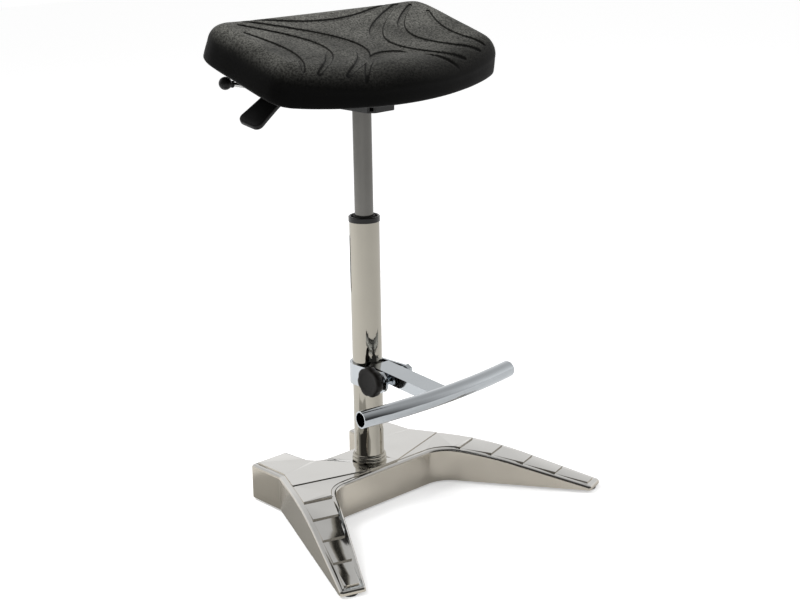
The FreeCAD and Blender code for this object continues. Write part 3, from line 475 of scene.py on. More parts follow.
class Palette:
    """Every finish on the stool, made once."""

    def __init__(self) -> None:
        """Makes all the materials."""
        self.casting = Casting().build()
        self.column = Metal("column_chrome", (0.43, 0.405, 0.35), (0.475, 0.45, 0.39), (0.035, 0.07),
                            Along.Z).build()
        self.footrest = Metal("footrest_chrome", (0.52, 0.55, 0.575), (0.60, 0.63, 0.655), (0.05, 0.10),
                              Along.X).build()
        self.cylinder = Metal("cylinder_satin_grey", (0.165, 0.161, 0.150), (0.21, 0.205, 0.192),
                              (0.12, 0.20), Along.Z, 0.004).build()
        self.inner_steel = Metal("inner_steel", (0.52, 0.52, 0.52), (0.60, 0.60, 0.59), (0.22, 0.38),
                                 Along.NONE, 0.004).build()
        self.zinc = Metal("lever_zinc", (0.62, 0.62, 0.61), (0.74, 0.74, 0.73), (0.16, 0.28),
                          Along.X, 0.003).build()
        self.collar = Moulding("collar_gloss_black", (0.006, 0.006, 0.006), (0.010, 0.010, 0.010),
                               (0.10, 0.16), 1.5, 0.004, coat=0.2, specular=0.3).build()
        self.knob = Moulding("knob_black", (0.004, 0.0034, 0.0028), (0.008, 0.0066, 0.0054), (0.30, 0.42),
                             0.5, 0.03, coat=0.05, specular=0.2).build()
        self.lever = Moulding("lever_black", (0.005, 0.005, 0.005), (0.009, 0.009, 0.009), (0.30, 0.42),
                              0.5, 0.03, coat=0.05, specular=0.2).build()
        self.bushing = Moulding("bushing_plastic", (0.10, 0.10, 0.10), (0.13, 0.13, 0.13), (0.35, 0.5),
                                0.8, 0.01).build()
        self.rubber = Moulding("pad_rubber", (0.010, 0.010, 0.010), (0.022, 0.021, 0.020), (0.6, 0.75),
                               0.7, 0.05).build()
        self.board = Moulding("board_black", (0.025, 0.025, 0.025), (0.045, 0.045, 0.045), (0.55, 0.7),
                              1.2, 0.06).build()
        self.lining = Moulding("brake_lining", (0.16, 0.13, 0.10), (0.26, 0.22, 0.18), (0.7, 0.85),
                               0.8, 0.08).build()
        self.paint = PaintedSteel("mechanism_paint", (0.010, 0.010, 0.010), (0.020, 0.020, 0.019)).build()
        self.skin = CushionSkin().build()


# Mesh work shared by the sub-assemblies


def deselect() -> None:
    """Leaves edit mode and clears the selection."""
    if bpy.context.object is not None and bpy.context.object.mode != "OBJECT":
        bpy.ops.object.mode_set(mode="OBJECT")
    bpy.ops.object.select_all(action="DESELECT")


def make_active(piece: bpy.types.Object) -> None:
    """Selects one object alone.

    Args:
        piece: The object that the next operators act on.
    """
    deselect()
    piece.select_set(True)
    bpy.context.view_layer.objects.active = piece


def settle(piece: bpy.types.Object) -> None:
    """Applies the object's place, turn and scale to its mesh.

    Args:
        piece: The finished piece.
    """
    make_active(piece)
    bpy.ops.object.transform_apply(location=True, rotation=True, scale=True)


def pick(piece: bpy.types.Object, kind: str, wanted: Callable[[Vector, Vector], bool]) -> None:
    """Selects the edges or faces that a test wants, in edit mode.

    Args:
        piece: The object in edit mode.
        kind: EDGE or FACE.
        wanted: A test on the middle point and on the edge's run or the face's normal.
    """
    bpy.ops.mesh.select_mode(type=kind)
    bpy.ops.mesh.select_all(action="DESELECT")
    bpy.ops.object.mode_set(mode="OBJECT")
    mesh = piece.data
    if kind == "EDGE":
        for edge in mesh.edges:
            first, second = (mesh.vertices[index].co for index in edge.vertices)
            edge.select = wanted((first + second) / 2, second - first)
    else:
        for face in mesh.polygons:
            face.select = wanted(face.center, face.normal)
    bpy.ops.object.mode_set(mode="EDIT")


def finish_piece(piece: bpy.types.Object, material: bpy.types.Material, body: Body,
                 nodes: tuple[str, ...]) -> None:
    """Dresses a new piece and hands it to its body in place of the solids it stands for.

    Args:
        piece: The finished mesh object.
        material: Its finish.
        body: The body it rides on.
        nodes: The solids that it stands for.
    """
    piece.data.materials.clear()
    piece.data.materials.append(material)
    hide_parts(*nodes)
    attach(piece, body.value)
    log.info("%s: %d faces, on %s", piece.name, len(piece.data.polygons), body.value)


def refined(node: str, name: str, material: bpy.types.Material, body: Body,
            angle: float = 24.0) -> None:
    """Makes a smooth-shaded piece from a solid whose shape is right.

    Args:
        node: The solid's name.
        name: The new piece's name.
        material: Its finish.
        body: The body it rides on.
        angle: Edges sharper than this stay sharp, in degrees.
    """
    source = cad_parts[node]
    piece = bpy.data.objects.new(name, source.data.copy())
    bpy.context.scene.collection.objects.link(piece)
    make_active(piece)
    bpy.ops.object.mode_set(mode="EDIT")
    bpy.ops.mesh.select_all(action="SELECT")
    bpy.ops.mesh.remove_doubles(threshold=TOUCH)
    bpy.ops.object.mode_set(mode="OBJECT")
    bpy.ops.object.shade_smooth_by_angle(angle=math.radians(angle))
    even = piece.modifiers.new("even_normals", "WEIGHTED_NORMAL")
    even.keep_sharp = True
    bpy.ops.object.modifier_apply(modifier=even.name)
    finish_piece(piece, material, body, (node,))


def dress(node: str, material: bpy.types.Material) -> None:
    """Gives a solid that stays as it is its finish.

    Args:
        node: The solid's name.
        material: Its finish.
    """
    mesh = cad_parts[node].data
    mesh.materials.clear()
    mesh.materials.append(material)
    log.info("%s: carried over", node)


# Sub-assemblies


@dataclass
class BaseAssembly:
    """The casting and what is fixed to it: pads, column tube and the fittings inside."""

    palette: Palette
    visible: tuple[tuple[str, str, str], ...] = (
        ("base_casting", "casting", "polished_casting"),
        ("floor_pads", "rubber", "pad_rubber"),
        ("column_tube", "column", "column_chrome"),
        ("column_foot_ring", "column", "column_chrome"),
        ("column_collar", "collar", "collar_black"),
        ("guide_bushing", "bushing", "bushing_plastic"),
        ("rod_wiper", "rubber", "pad_rubber"),
    )
    hidden: tuple[str, ...] = ("column_end_plate", "column_bolts", "bearing_lower_race", "bearing_balls")

    def build(self) -> None:
        """Smooths the pieces that show and dresses the ones inside."""
        for node, finish, slot in self.visible:
            refined(node, node + "_shown", getattr(self.palette, finish), Body.BASE)
        for node in self.hidden:
            dress(node, self.palette.inner_steel)


@dataclass
class GasSpring:
    """The pressure tube, the rod inside it and the fittings at the rod's foot."""

    palette: Palette

    def build(self) -> None:
        """Smooths the tube and dresses the pieces inside."""
        refined("gas_spring_cylinder", "gas_spring_tube", self.palette.cylinder,
                Body.LIFT)
        for node in ("bearing_upper_race", "rod_clip", "piston_rod", "release_pin"):
            dress(node, self.palette.inner_steel)
        dress("rubber_buffer", self.palette.rubber)
        for node in ("piston", "cylinder_end_guide"):
            dress(node, self.palette.bushing)


@dataclass
class TiltMechanism:
    """The folded housing, its pivots and the bracket that the seat turns on."""

    palette: Palette

    def build(self) -> None:
        """Smooths the folded steel and dresses the small parts."""
        refined("mechanism_housing", "mechanism_channel", self.palette.paint, Body.LIFT)
        refined("seat_bracket", "seat_bracket_fold", self.palette.paint, Body.SEAT)
        for node in ("cone_socket", "lever_ears", "seat_plate"):
            dress(node, self.palette.paint)
        for node in ("pivot_bolts", "pivot_nuts", "lever_pins", "tilt_sector", "seat_screws"):
            dress(node, self.palette.inner_steel)
        dress("brake_pad", self.palette.lining)
        dress("seat_board", self.palette.board)


@dataclass
class Levers:
    """The height lever with its blade and the tilt lever with its ball."""

    palette: Palette
    root: Pair = (-157.0, 639.8)
    tip: Pair = (-215.0, 602.8)
    width: float = 41.0
    neck: float = 33.0
    thickness: float = 9.0
    roll: float = 16.0
    shift: float = 1.5
    root_share: float = 0.25
    drawn_shares: Pair = (0.38, 0.30)
    tip_start: float = 0.9
    tip_radius: float = 11.0
    edge_radius: float = 2.8

    def build(self) -> None:
        """Builds both levers."""
        refined("height_lever_rod", "height_lever_bar", self.palette.paint,
                Body.HEIGHT_LEVER)
        self.paddle()
        refined("tilt_lever_rod", "tilt_lever_bar", self.palette.zinc, Body.TILT_LEVER)
        refined("tilt_lever_knob", "tilt_lever_ball", self.palette.lever, Body.TILT_LEVER)

    def paddle(self) -> None:
        """Models the blade: a slab drawn out, its tip rounded and softly edged."""
        run = Vector((self.tip[0] - self.root[0], 0.0, self.tip[1] - self.root[1]))
        length = run.length * MM
        half_thickness = self.thickness * MM / 2
        deselect()
        bpy.ops.mesh.primitive_cube_add(size=1.0)
        blade = bpy.context.object
        blade.name = "height_lever_blade"
        blade.scale = (length * self.root_share, self.neck * MM, self.thickness * MM)
        blade.location = (-length * self.root_share / 2, self.shift * MM, 0.0)
        settle(blade)
        bpy.ops.object.mode_set(mode="EDIT")
        widen = (self.width / self.neck) ** 0.5
        for share in self.drawn_shares:
            pick(blade, "FACE", lambda centre, normal: normal.x < -0.9)
            bpy.ops.mesh.extrude_region_move(TRANSFORM_OT_translate={"value": (-length * share, 0, 0)})
            bpy.ops.transform.resize(value=(1.0, widen, 1.0), center_override=(0, self.shift * MM, 0))
        pick(blade, "EDGE", lambda middle, line: middle.x < -length * self.tip_start
             and abs(line.z) > abs(line.y) + abs(line.x))
        bpy.ops.mesh.bevel(offset=self.tip_radius * MM, segments=6, profile=0.5)
        pick(blade, "EDGE", lambda middle, line: abs(line.z) < TOUCH
             and abs(abs(middle.z) - half_thickness) < TOUCH and not self.inside(middle, length))
        bpy.ops.mesh.bevel(offset=self.edge_radius * MM, segments=4, profile=0.5)
        bpy.ops.object.mode_set(mode="OBJECT")
        droop = math.degrees(math.atan2(self.root[1] - self.tip[1], self.root[0] - self.tip[0]))
        place = Matrix.Translation((self.root[0] * MM, COLUMN_Y * MM, self.root[1] * MM))
        droops = Matrix.Rotation(math.radians(-droop), 4, "Y")
        rolls = Matrix.Rotation(math.radians(self.roll), 4, "X")
        blade.matrix_world = place @ (droops @ rolls)
        settle(blade)
        bpy.ops.object.shade_smooth_by_angle(angle=math.radians(40))
        finish_piece(blade, self.palette.lever, Body.HEIGHT_LEVER, ("height_lever_paddle",))

    def inside(self, middle: Vector, length: float) -> bool:
        """Tells whether a top or bottom edge crosses the blade instead of bounding it.

        Args:
            middle: The edge's middle point.
            length: The blade's length.

        Returns:
            True for an edge across the blade.
        """
        across = abs(middle.y - self.shift * MM) < self.neck * MM * 0.3
        return across and -length * self.tip_start < middle.x < -length * 0.05


@dataclass
class Footrest:
    """The strap, arm, bar and knob that slide together on the column."""

    palette: Palette
    knob_middle: Triple = (-36.8, -53.0, 208.0)
    knob_radius: float = 23.0
    hub_radius: float = 12.0
    hub_length: float = 8.0
    lobes: int = 7
    lobe_depth: float = 1.6
    lobe_start: float = 1.3
    lobe_sharpness: float = 2.2
    facets_per_lobe: int = 12
    stages: tuple[Pair, ...] = ((0.01, 1.55), (3.0, 1.22), (7.0, 1.02), (2.4, 0.965), (0.9, 0.90))
    dishes: tuple[Pair, ...] = ((4.0, -0.6), (5.0, -0.5))

    def build(self) -> None:
        """Smooths the metalwork and models the knob."""
        for node, name in (("clamp_strap", "footrest_strap"), ("footrest_arm", "footrest_beam"),
                           ("footrest_bar", "footrest_tube"), ("clamp_spacers", "clamp_sleeves"),
                           ("clamp_nut", "clamp_far_nut")):
            refined(node, name, self.palette.footrest, Body.FOOTREST)
        dress("clamp_saddle", self.palette.bushing)
        dress("clamp_stud", self.palette.inner_steel)
        dress("clamp_washer", self.palette.footrest)
        self.knob()

    def knob(self) -> None:
        """Models the knob: a hub drawn out to a lobed head with a soft rim and a dished face."""
        deselect()
        bpy.ops.mesh.primitive_cylinder_add(vertices=self.lobes * self.facets_per_lobe,
                                            radius=self.hub_radius * MM, depth=self.hub_length * MM,
                                            end_fill_type="NGON")
        knob = bpy.context.object
        knob.name = "footrest_hand_knob"
        bpy.ops.object.mode_set(mode="EDIT")
        for rise, scale in self.stages:
            pick_top(knob)
            bpy.ops.mesh.extrude_region_move(TRANSFORM_OT_translate={"value": (0, 0, rise * MM)})
            bpy.ops.transform.resize(value=(scale, scale, 1.0), center_override=(0, 0, 0))
        pick_top(knob)
        for inset, depth in self.dishes:
            bpy.ops.mesh.inset(thickness=inset * MM, depth=depth * MM)
        bpy.ops.object.mode_set(mode="OBJECT")
        start = self.hub_radius * self.lobe_start
        for vertex in knob.data.vertices:
            reach = math.hypot(vertex.co.x, vertex.co.y) / MM
            if reach > start:
                angle = math.atan2(vertex.co.y, vertex.co.x)
                wave = (0.5 - 0.5 * math.cos(angle * self.lobes)) ** self.lobe_sharpness
                share = (reach - start) / (self.knob_radius - start)
                factor = 1 - self.lobe_depth / self.knob_radius * wave * min(share, 1.0)
                vertex.co.x *= factor
                vertex.co.y *= factor
        x, y, z = self.knob_middle
        place = Matrix.Translation(((x + self.hub_length / 2) * MM, (y + COLUMN_Y) * MM, z * MM))
        knob.matrix_world = place @ Matrix.Rotation(math.radians(-90), 4, "Y")
        settle(knob)
        bpy.ops.object.shade_smooth_by_angle(angle=math.radians(50))
        finish_piece(knob, self.palette.knob, Body.KNOB, ("clamp_knob",))


def pick_top(piece: bpy.types.Object) -> None:
    """Selects the faces that lie highest on a piece and face up, in edit mode.

    Args:
        piece: The object in edit mode.
    """
    bpy.ops.object.mode_set(mode="OBJECT")
    top = max(vertex.co.z for vertex in piece.data.vertices)
    bpy.ops.object.mode_set(mode="EDIT")
    pick(piece, "FACE", lambda centre, normal: normal.z > 0.9 and centre.z > top - 1e-6)


@dataclass(frozen=True)
class Channel:
    """One channel in the cushion's top: three points that its middle line passes, and its widths."""

    start: Pair
    bow: Pair
    end: Pair
    bow_width: float
    end_width: float = 5.0
    lean: float = 0.12

    def line(self, steps: int = 64) -> numpy.ndarray:
        """Points along the channel, evenly spread in its own measure.

        Args:
            steps: How many stretches the line has.

        Returns:
            Rows of x, v and half width.
        """
        share = numpy.linspace(0.0, 1.0, steps + 1)[:, None]
        start, bow, end = (numpy.array(point) for point in (self.start, self.bow, self.end))
        control = (bow - (start + end) / 8) * 4 / 3
        lean = (end - start) * self.lean
        first, second = control - lean, control + lean
        curve = ((1 - share) ** 3 * start + 3 * (1 - share) ** 2 * share * first
                 + 3 * (1 - share) * share ** 2 * second + share ** 3 * end)
        width = self.end_width + (self.bow_width - self.end_width) * numpy.sin(math.pi * share)
        return numpy.hstack([curve, width / 2])


def both_sides(channel: Channel) -> list[Channel]:
    """A channel and its twin on the other side of the seat.

    Args:
        channel: The channel on the +X side.

    Returns:
        The pair.
    """
    flipped = [(-point[0], point[1]) for point in (channel.start, channel.bow, channel.end)]
    return [channel, Channel(*flipped, channel.bow_width, channel.end_width)]


@dataclass
class Cushion:
    """The moulded cushion, drawn in its own plane and tipped forward on the bracket."""

    palette: Palette
    pivot: Triple = (0.0, COLUMN_Y, 622.0)
    tilt: float = 17.0
    plane: float = 33.5
    outline: tuple[Pair, ...] = (
        (0.0, -119.5), (60.0, -116.0), (115.0, -106.4), (155.0, -95.5), (184.0, -85.0), (203.0, -74.5),
        (214.0, -58.0), (217.0, -34.0), (217.0, 20.0), (217.0, 60.0), (214.5, 86.0), (205.0, 106.0),
        (185.0, 116.8), (150.0, 120.0), (75.0, 124.5), (0.0, 126.0))
    outline_steps: int = 24
    corner_bias: float = 1.15
    lip: float = 30.0
    under_edge: float = 5.0
    lean: float = 2.5
    roll_in: float = 27.0
    front_roll: float = 16.0
    roll_down: float = 27.0
    middle_height: float = 44.5
    side_rise: float = 12.0
    rear_rise: float = 7.0
    front_fall: float = 2.0
    pommel_rise: float = 5.0
    pommel_width: float = 62.0
    pommel_reach: float = 76.0
    saddle_reach: float = 205.0
    rear_reach: float = 115.0
    front_start: float = 30.0
    front_reach: float = 87.0
    pommel_length: float = 24.0
    recess: float = 5.4
    roll_power: float = 0.94
    crown_power: float = 2.2
    # Painted sheen and shade on the top: lighter towards the rear, darker over the front.
    middle_sheen: float = 0.72
    rear_sheen: float = 0.28
    front_shade: float = 0.42
    front_shade_start: float = 40.0
    sheen_shade_reach: float = 60.0
    groove_depth: float = 2.6
    groove_wall: float = 2.6
    channels: list[Channel] = field(default_factory=lambda: [
        *both_sides(Channel((178.0, 57.0), (154.0, -8.0), (176.0, -66.0), 9.0)),
        *both_sides(Channel((167.0, 85.0), (86.0, 2.0), (157.0, -77.0), 12.0)),
        *both_sides(Channel((149.0, 97.0), (28.0, -2.0), (115.0, -89.0), 22.0)),
        Channel((-132.0, 104.0), (0.0, 77.0), (132.0, 104.0), 9.0),
        Channel((-92.0, -104.0), (0.0, -42.0), (92.0, -104.0), 12.0)])
    top_rings: int = 122
    roll_rings: int = 20
    side_rings: int = 4
    under_rings: int = 4

    def rim(self, count: int) -> tuple[numpy.ndarray, numpy.ndarray]:
        """The outline as evenly numbered points, from the front left corner anticlockwise.

        Args:
            count: Points on each side of the square that the outline is read round.

        Returns:
            The points and their outward normals.
        """
        right = list(self.outline)
        left = [(-x, v) for x, v in right[-2:0:-1]]
        points = numpy.array(right + left)
        closed = numpy.vstack([points[-2:], points, points[:3]])
        dense = []
        for index in range(2, len(closed) - 3):
            p0, p1, p2, p3 = closed[index - 1:index + 3]
            for share in numpy.linspace(0, 1, self.outline_steps, endpoint=False):
                dense.append(0.5 * (2 * p1 + (p2 - p0) * share + (2 * p0 - 5 * p1 + 4 * p2 - p3) * share ** 2
                                    + (3 * p1 - p0 - 3 * p2 + p3) * share ** 3))
        dense = numpy.array(dense)
        steps = numpy.linalg.norm(numpy.roll(dense, -1, axis=0) - dense, axis=1)
        length = numpy.concatenate([[0.0], numpy.cumsum(steps)])
        ring = numpy.vstack([dense, dense[:1]])
        corners = [self.corner_length(ring, length, sign) for sign in ((-1, -1), (1, -1), (1, 1), (-1, 1))]
        total = length[-1]
        at = []
        for index in range(4):
            begin = corners[index]
            finish = corners[(index + 1) % 4]
            if finish <= begin:
                finish += total
            at.append(numpy.linspace(begin, finish, count, endpoint=False))
        at = numpy.concatenate(at) % total

        def read(where: numpy.ndarray) -> numpy.ndarray:
            """Reads the outline at lengths along it."""
            where = where % total
            return numpy.stack([numpy.interp(where, length, ring[:, axis]) for axis in (0, 1)], axis=1)

        spots = read(at)
        along = read(at + 1.5) - read(at - 1.5)
        along /= numpy.linalg.norm(along, axis=1)[:, None]
        return spots, numpy.stack([along[:, 1], -along[:, 0]], axis=1)

    def corner_length(self, ring: numpy.ndarray, length: numpy.ndarray, sign: tuple[int, int]) -> float:
        """Length along the outline at which it rounds one corner.

        Args:
            ring: The closed outline.
            length: Length at each of its points.
            sign: Which corner, as signs of x and v.

        Returns:
            The length in millimetres.
        """
        score = sign[0] * ring[:, 0] + self.corner_bias * sign[1] * ring[:, 1]
        return float(length[int(numpy.argmax(score))])

    def profile(self) -> list[tuple[str, float]]:
        """The rim's rings from the top's edge down and under, as stages and shares."""
        rings = [("roll", (index + 1) / self.roll_rings) for index in range(self.roll_rings)]
        rings += [("side", (index + 1) / self.side_rings) for index in range(self.side_rings)]
        rings += [("under", (index + 1) / self.under_rings) for index in range(self.under_rings)]
        rings += [("lip", 0.5), ("lip", 1.0)]
        return rings

    def top(self, x: numpy.ndarray, v: numpy.ndarray) -> numpy.ndarray:
        """Height of the saddle-shaped top before its rim rolls over.

        Args:
            x: Places across the seat.
            v: Places from front to rear.

        Returns:
            Heights above the underside.
        """
        across = numpy.clip(numpy.abs(x) / self.saddle_reach, 0, 1)
        back = numpy.clip(v / self.rear_reach, 0, 1)
        front = numpy.clip((-v - self.front_start) / self.front_reach, 0, 1)
        pommel = numpy.exp(-(x / self.pommel_width) ** 2
                           - ((v + self.pommel_reach) / self.pommel_length) ** 2)
        return (self.middle_height + self.side_rise * across ** 2
                + self.rear_rise * back ** 2 * (1 - across ** 2)
                - self.front_fall * front ** 2 + self.pommel_rise * pommel)

    def carve(self, x: numpy.ndarray, v: numpy.ndarray) -> numpy.ndarray:
        """How deeply the channels cut the top, from 0 to 1.

        Args:
            x: Places across the seat.
            v: Places from front to rear.

        Returns:
            The share of the full depth at each place.
        """
        deepest = numpy.zeros_like(x)
        for channel in self.channels:
            line = channel.line()
            nearest = numpy.full_like(x, numpy.inf)
            for first, second in zip(line[:-1], line[1:]):
                run = second[:2] - first[:2]
                share = ((x - first[0]) * run[0] + (v - first[1]) * run[1]) / float(run @ run)
                share = numpy.clip(share, 0, 1)
                away = numpy.hypot(x - first[0] - share * run[0], v - first[1] - share * run[1])
                nearest = numpy.minimum(nearest, away - (first[2] + share * (second[2] - first[2])))
            wall = numpy.clip(0.5 - nearest / self.groove_wall, 0, 1)
            deepest = numpy.maximum(deepest, wall * wall * (3 - 2 * wall))
        return deepest

    def build(self) -> None:
        rings = self.profile()
        total = self.top_rings + len(rings)
        deselect()
        bpy.ops.mesh.primitive_grid_add(x_subdivisions=2 * total, y_subdivisions=2 * total, size=2.0)
        piece = bpy.context.object
        piece.name = "seat_cushion_skin"
        mesh = piece.data
        flat = numpy.empty(len(mesh.vertices) * 3)
        mesh.vertices.foreach_get("co", flat)
        grid = flat.reshape(-1, 3)
        column = numpy.rint(grid[:, 0] * total).astype(int)
        row = numpy.rint(grid[:, 1] * total).astype(int)
        ring = numpy.maximum(numpy.abs(column), numpy.abs(row))
        place = self.place(column, row, ring, total, rings)
        mesh.vertices.foreach_set("co", (place["world"] * MM).ravel())
        for name in ("crown", "channel"):
            layer = mesh.attributes.new(name, "FLOAT", "POINT")
            layer.data.foreach_set("value", place[name].astype(numpy.float32))
        mesh.update()
        self.close_underside(piece)
        make_active(piece)
        bpy.ops.object.shade_smooth_by_angle(angle=math.radians(60))
        finish_piece(piece, self.palette.skin, Body.SEAT, ("seat_cushion",))

    def place(self, column: numpy.ndarray, row: numpy.ndarray, ring: numpy.ndarray, total: int,
              rings: list[tuple[str, float]]) -> dict[str, numpy.ndarray]:
        """Moves every grid point to its place on the cushion.

        Args:
            column: Grid column, 0 in the middle.
            row: Grid row, 0 in the middle.
            ring: Which square ring the point is on.
            total: How many rings there are.
            rings: The rim's stages.

        Returns:
            World places in millimetres, and the crown and channel shares.
        """
        count = 2 * total
        spots, normals = self.rim(count)
        safe = numpy.maximum(ring, 1)
        u = column / safe
        t = row / safe
        front = (row == -ring)
        right = (column == ring) & ~front
        rear = (row == ring) & ~right & ~front
        sides = numpy.select([front, right, rear], [u + 1, t + 3, 5 - u], 7 - t) / 2
        where = sides * count % (4 * count)
        low = numpy.floor(where).astype(int) % (4 * count)
        high = (low + 1) % (4 * count)
        mix = (where - numpy.floor(where))[:, None]
        spot = spots[low] * (1 - mix) + spots[high] * mix
        normal = normals[low] * (1 - mix) + normals[high] * mix
        roll_in = self.roll_in + self.front_roll * numpy.clip(-normal[:, 1], 0, 1) ** 2
        inner = spot - normal * (self.lean + roll_in)[:, None]
        share = numpy.clip(ring / self.top_rings, 0, 1)[:, None]
        plan = inner * share
        height = self.top(plan[:, 0], plan[:, 1])
        crown = numpy.ones(len(ring))
        edge_height = self.top(inner[:, 0], inner[:, 1])
        for index, (stage, part) in enumerate(rings):
            on = ring == self.top_rings + index + 1
            inset, rise, shine = self.rim_point(stage, part, edge_height[on], roll_in[on])
            plan[on] = spot[on] - normal[on] * numpy.asarray(inset)[:, None]
            height[on] = rise
            crown[on] = shine
        carved = self.carve(plan[:, 0], plan[:, 1]) * numpy.clip(crown * 1.5 - 0.2, 0, 1)
        height = height - carved * self.groove_depth
        # Painted sheen and shade: the crown share, which lightens the skin, rises towards the rear and falls
        # towards the front.
        sheen_and_shade = (self.middle_sheen + self.rear_sheen * numpy.clip(plan[:, 1] / self.sheen_shade_reach, 0, 1)
                - self.front_shade * numpy.clip((-plan[:, 1] - self.front_shade_start) / self.sheen_shade_reach, 0, 1))
        crown = crown * sheen_and_shade
        angle = math.radians(self.tilt)
        v = plan[:, 1] + self.plane * math.tan(angle)
        w = height + self.plane
        world = numpy.stack([
            plan[:, 0] + self.pivot[0],
            v * math.cos(angle) - w * math.sin(angle) + self.pivot[1],
            v * math.sin(angle) + w * math.cos(angle) + self.pivot[2]], axis=1)
        return {"world": world, "crown": crown, "channel": carved}

    def rim_point(self, stage: str, part: float, edge: numpy.ndarray,
                  roll_in: numpy.ndarray) -> tuple[numpy.ndarray, numpy.ndarray, float]:
        """One ring of the rim.

        Args:
            stage: roll, side, under or lip.
            part: Share of the stage that is done.
            edge: The top's height where the roll starts.
            roll_in: How far in from the outline the roll starts.

        Returns:
            Insets from the outline, heights, and the crown share.
        """
        shoulder = edge - self.roll_down
        if stage == "roll":
            angle = part * math.pi / 2
            inset = self.lean + roll_in * (1 - math.sin(angle) ** self.roll_power)
            rise = shoulder + self.roll_down * math.cos(angle) ** self.roll_power
            # The crown share fades down the roll, taking the painted sheen away there as painted shade.
            return inset, rise, max(0.0, math.cos(angle)) ** self.crown_power
        if stage == "side":
            inset = self.lean * (1 - part) ** 1.3
            return numpy.full_like(edge, inset), shoulder + (self.under_edge - shoulder) * part, 0.0
        if stage == "under":
            angle = part * math.pi / 2
            inset = self.under_edge * (1 - math.cos(angle))
            rise = self.under_edge * (1 - math.sin(angle))
            return numpy.full_like(edge, inset), numpy.full_like(edge, rise), 0.0
        inset = self.under_edge + (self.lip - self.under_edge) * part
        return numpy.full_like(edge, inset), numpy.zeros_like(edge), 0.0

    def close_underside(self, piece: bpy.types.Object) -> None:
        """Extrudes the underside's lip up into the recess and closes it over the seat board.

        Args:
            piece: The open cushion.
        """
        make_active(piece)
        bpy.ops.object.mode_set(mode="EDIT")
        bpy.ops.mesh.select_mode(type="VERT")
        bpy.ops.mesh.select_all(action="DESELECT")
        bpy.ops.mesh.select_non_manifold()
        angle = math.radians(self.tilt)
        up = Vector((0.0, -math.sin(angle), math.cos(angle)))
        bpy.ops.mesh.extrude_region_move(TRANSFORM_OT_translate={"value": up * self.recess * MM})
        bpy.ops.mesh.edge_face_add()
        bpy.ops.mesh.select_all(action="SELECT")
        bpy.ops.mesh.normals_make_consistent(inside=False)
        bpy.ops.object.mode_set(mode="OBJECT")


# Studio


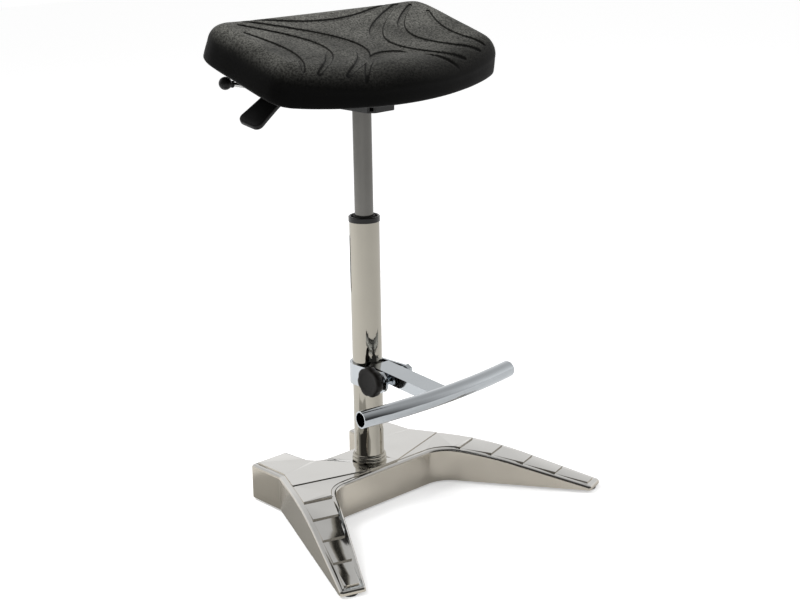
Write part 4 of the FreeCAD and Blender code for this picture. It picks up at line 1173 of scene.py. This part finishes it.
@dataclass
class Studio:
    """Pale floor, white surround, soft lamps and the photograph's camera."""

    eye: Triple = (-1591.50, -1711.06, 990.85)
    forward: Triple = (0.66922304, 0.68883105, -0.27866163)
    rightward: Triple = (0.71393075, -0.70003602, -0.01588893)
    upward: Triple = (0.20601796, 0.18831187, 0.9602579)
    lens: float = 73.18
    ambient: float = 0.62
    horizon: float = 0.92
    zenith: float = 0.50
    behind: float = 0.05
    toward_camera: Triple = (-0.696, -0.717, 0.0)
    grade_range: Pair = (0.25, 0.75)
    dim_range: Pair = (-0.15, 0.35)
    floor_side: float = 14.0
    floor_glow: float = 0.42

    def build(self) -> None:
        """Builds the floor, the world, the lamps, the sheets that the metal mirrors and the camera."""
        self.floor()
        self.world()
        self.lamp("key_softbox", (-0.9, 1.5, 2.3), (0.0, 0.05, 0.6), 1.4, 44.0)
        self.lamp("front_softbox", (-2.4, -1.9, 1.5), (0.0, 0.05, 0.35), 1.8, 7.0)
        self.lamp("right_softbox", (2.4, -1.2, 1.9), (0.0, 0.05, 0.4), 1.6, 10.0)
        self.felt("column_dark_card", (0.366, 0.883, 0.13), (0.65, 0.12), (0.02, 0.02, 0.02), True)
        self.felt("floor_grey_mat", (-0.30, 0.05, 0.001), (0.32, 0.42), (0.45, 0.45, 0.44), False)
        self.camera()

    def floor(self) -> None:
        """Makes the pale floor, which keeps the stool's shadow."""
        deselect()
        bpy.ops.mesh.primitive_plane_add(size=self.floor_side)
        floor = bpy.context.object
        floor.name = "studio_floor"
        shader = Shader("studio_floor_white")
        shader.set(Roughness=0.9, Base_Color=(0.9, 0.9, 0.9), Specular_IOR_Level=0.0)
        seen = shader.add("LightPath").outputs["Is Camera Ray"]
        shader.set(Emission_Color=(1.0, 1.0, 1.0),
                   Emission_Strength=shader.math("MULTIPLY", seen, self.floor_glow))
        floor.data.materials.append(shader.material)

    def world(self) -> None:
        """Makes the white surround: plain for the camera, graded towards the floor in metal."""
        world = bpy.data.worlds.new("studio_surround")
        bpy.context.scene.world = world
        world.use_nodes = True
        nodes = Nodes(world.node_tree)
        rays = nodes.add("LightPath").outputs
        way = nodes.add("TexCoord").outputs["Generated"]
        split = nodes.add("SeparateXYZ")
        nodes.feed(split.inputs["Vector"], way)
        grade = nodes.remap(split.outputs["Z"], *self.grade_range, self.horizon, self.zenith)
        toward = nodes.add("VectorMath")
        toward.operation = "DOT_PRODUCT"
        nodes.feed(toward.inputs[0], way)
        nodes.feed(toward.inputs[1], self.toward_camera)
        dim = nodes.remap(toward.outputs["Value"], *self.dim_range, 0.0, 1.0)
        mirrored = nodes.mix(dim, grade, self.behind, "VALUE")
        strength = nodes.mix(rays["Is Glossy Ray"], self.ambient, mirrored, "VALUE")
        strength = nodes.mix(rays["Is Camera Ray"], strength, 1.0, "VALUE")
        back = nodes.tree.nodes["Background"]
        nodes.feed(back.inputs["Color"], (1.0, 1.0, 1.0))
        nodes.feed(back.inputs["Strength"], strength)

    def lamp(self, name: str, place: Triple, aim: Triple,
             size: float, power: float) -> None:
        """Adds a soft square lamp.

        Args:
            name: The lamp's name.
            place: Where it hangs.
            aim: What it faces.
            size: Its side in metres.
            power: Its power in watts.
        """
        data = bpy.data.lights.new(name, "AREA")
        data.shape = "SQUARE"
        data.size = size
        data.energy = power
        lamp = bpy.data.objects.new(name, data)
        bpy.context.scene.collection.objects.link(lamp)
        lamp.visible_glossy = False
        lamp.location = place
        lamp.rotation_euler = (Vector(aim) - Vector(place)).to_track_quat("-Z", "Y").to_euler()

    def felt(self, name: str, place: Triple, size: Pair, shade: Triple, upright: bool) -> None:
        """Adds a matt sheet for the metal to reflect, unseen by the camera.

        Args:
            name: The sheet's name.
            place: Its middle.
            size: Its two sides.
            shade: Its colour.
            upright: True to stand it facing the column, False to lay it on the floor.
        """
        deselect()
        bpy.ops.mesh.primitive_plane_add(size=1.0)
        sheet = bpy.context.object
        sheet.name = name
        sheet.scale = (*size, 1.0)
        if upright:
            facing = Vector((0.0, COLUMN_Y * MM, place[2])) - Vector(place)
            sheet.rotation_euler = facing.to_track_quat("Z", "Y").to_euler()
        sheet.location = place
        shader = Shader(name + "_felt")
        shader.set(Base_Color=shade, Roughness=1.0, Specular_IOR_Level=0.0)
        sheet.data.materials.append(shader.material)
        sheet.visible_camera = False
        sheet.visible_diffuse = False
        sheet.visible_shadow = False

    def camera(self) -> None:
        """Sets the camera where the photograph was taken from."""
        data = bpy.data.cameras.new("photo_camera")
        data.lens = self.lens
        data.sensor_width = 36.0
        data.clip_end = 50.0
        camera = bpy.data.objects.new("photo_camera", data)
        bpy.context.scene.collection.objects.link(camera)
        axes = Matrix((self.rightward, self.upward, [-value for value in self.forward])).transposed()
        place = Vector((self.eye[0], self.eye[1] + COLUMN_Y, self.eye[2])) * MM
        camera.matrix_world = Matrix.Translation(place) @ axes.to_4x4()
        bpy.context.scene.camera = camera


def main() -> None:
    """Builds the stool's pieces in order, then the studio, and sets the view transform."""
    logging.basicConfig(level=logging.INFO, format="%(name)s %(message)s")
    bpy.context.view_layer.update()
    palette = Palette()
    BaseAssembly(palette).build()
    GasSpring(palette).build()
    TiltMechanism(palette).build()
    Levers(palette).build()
    Footrest(palette).build()
    Cushion(palette).build()
    Studio().build()
    bpy.context.scene.view_settings.view_transform = "Standard"


if __name__ == "__main__":
    main()
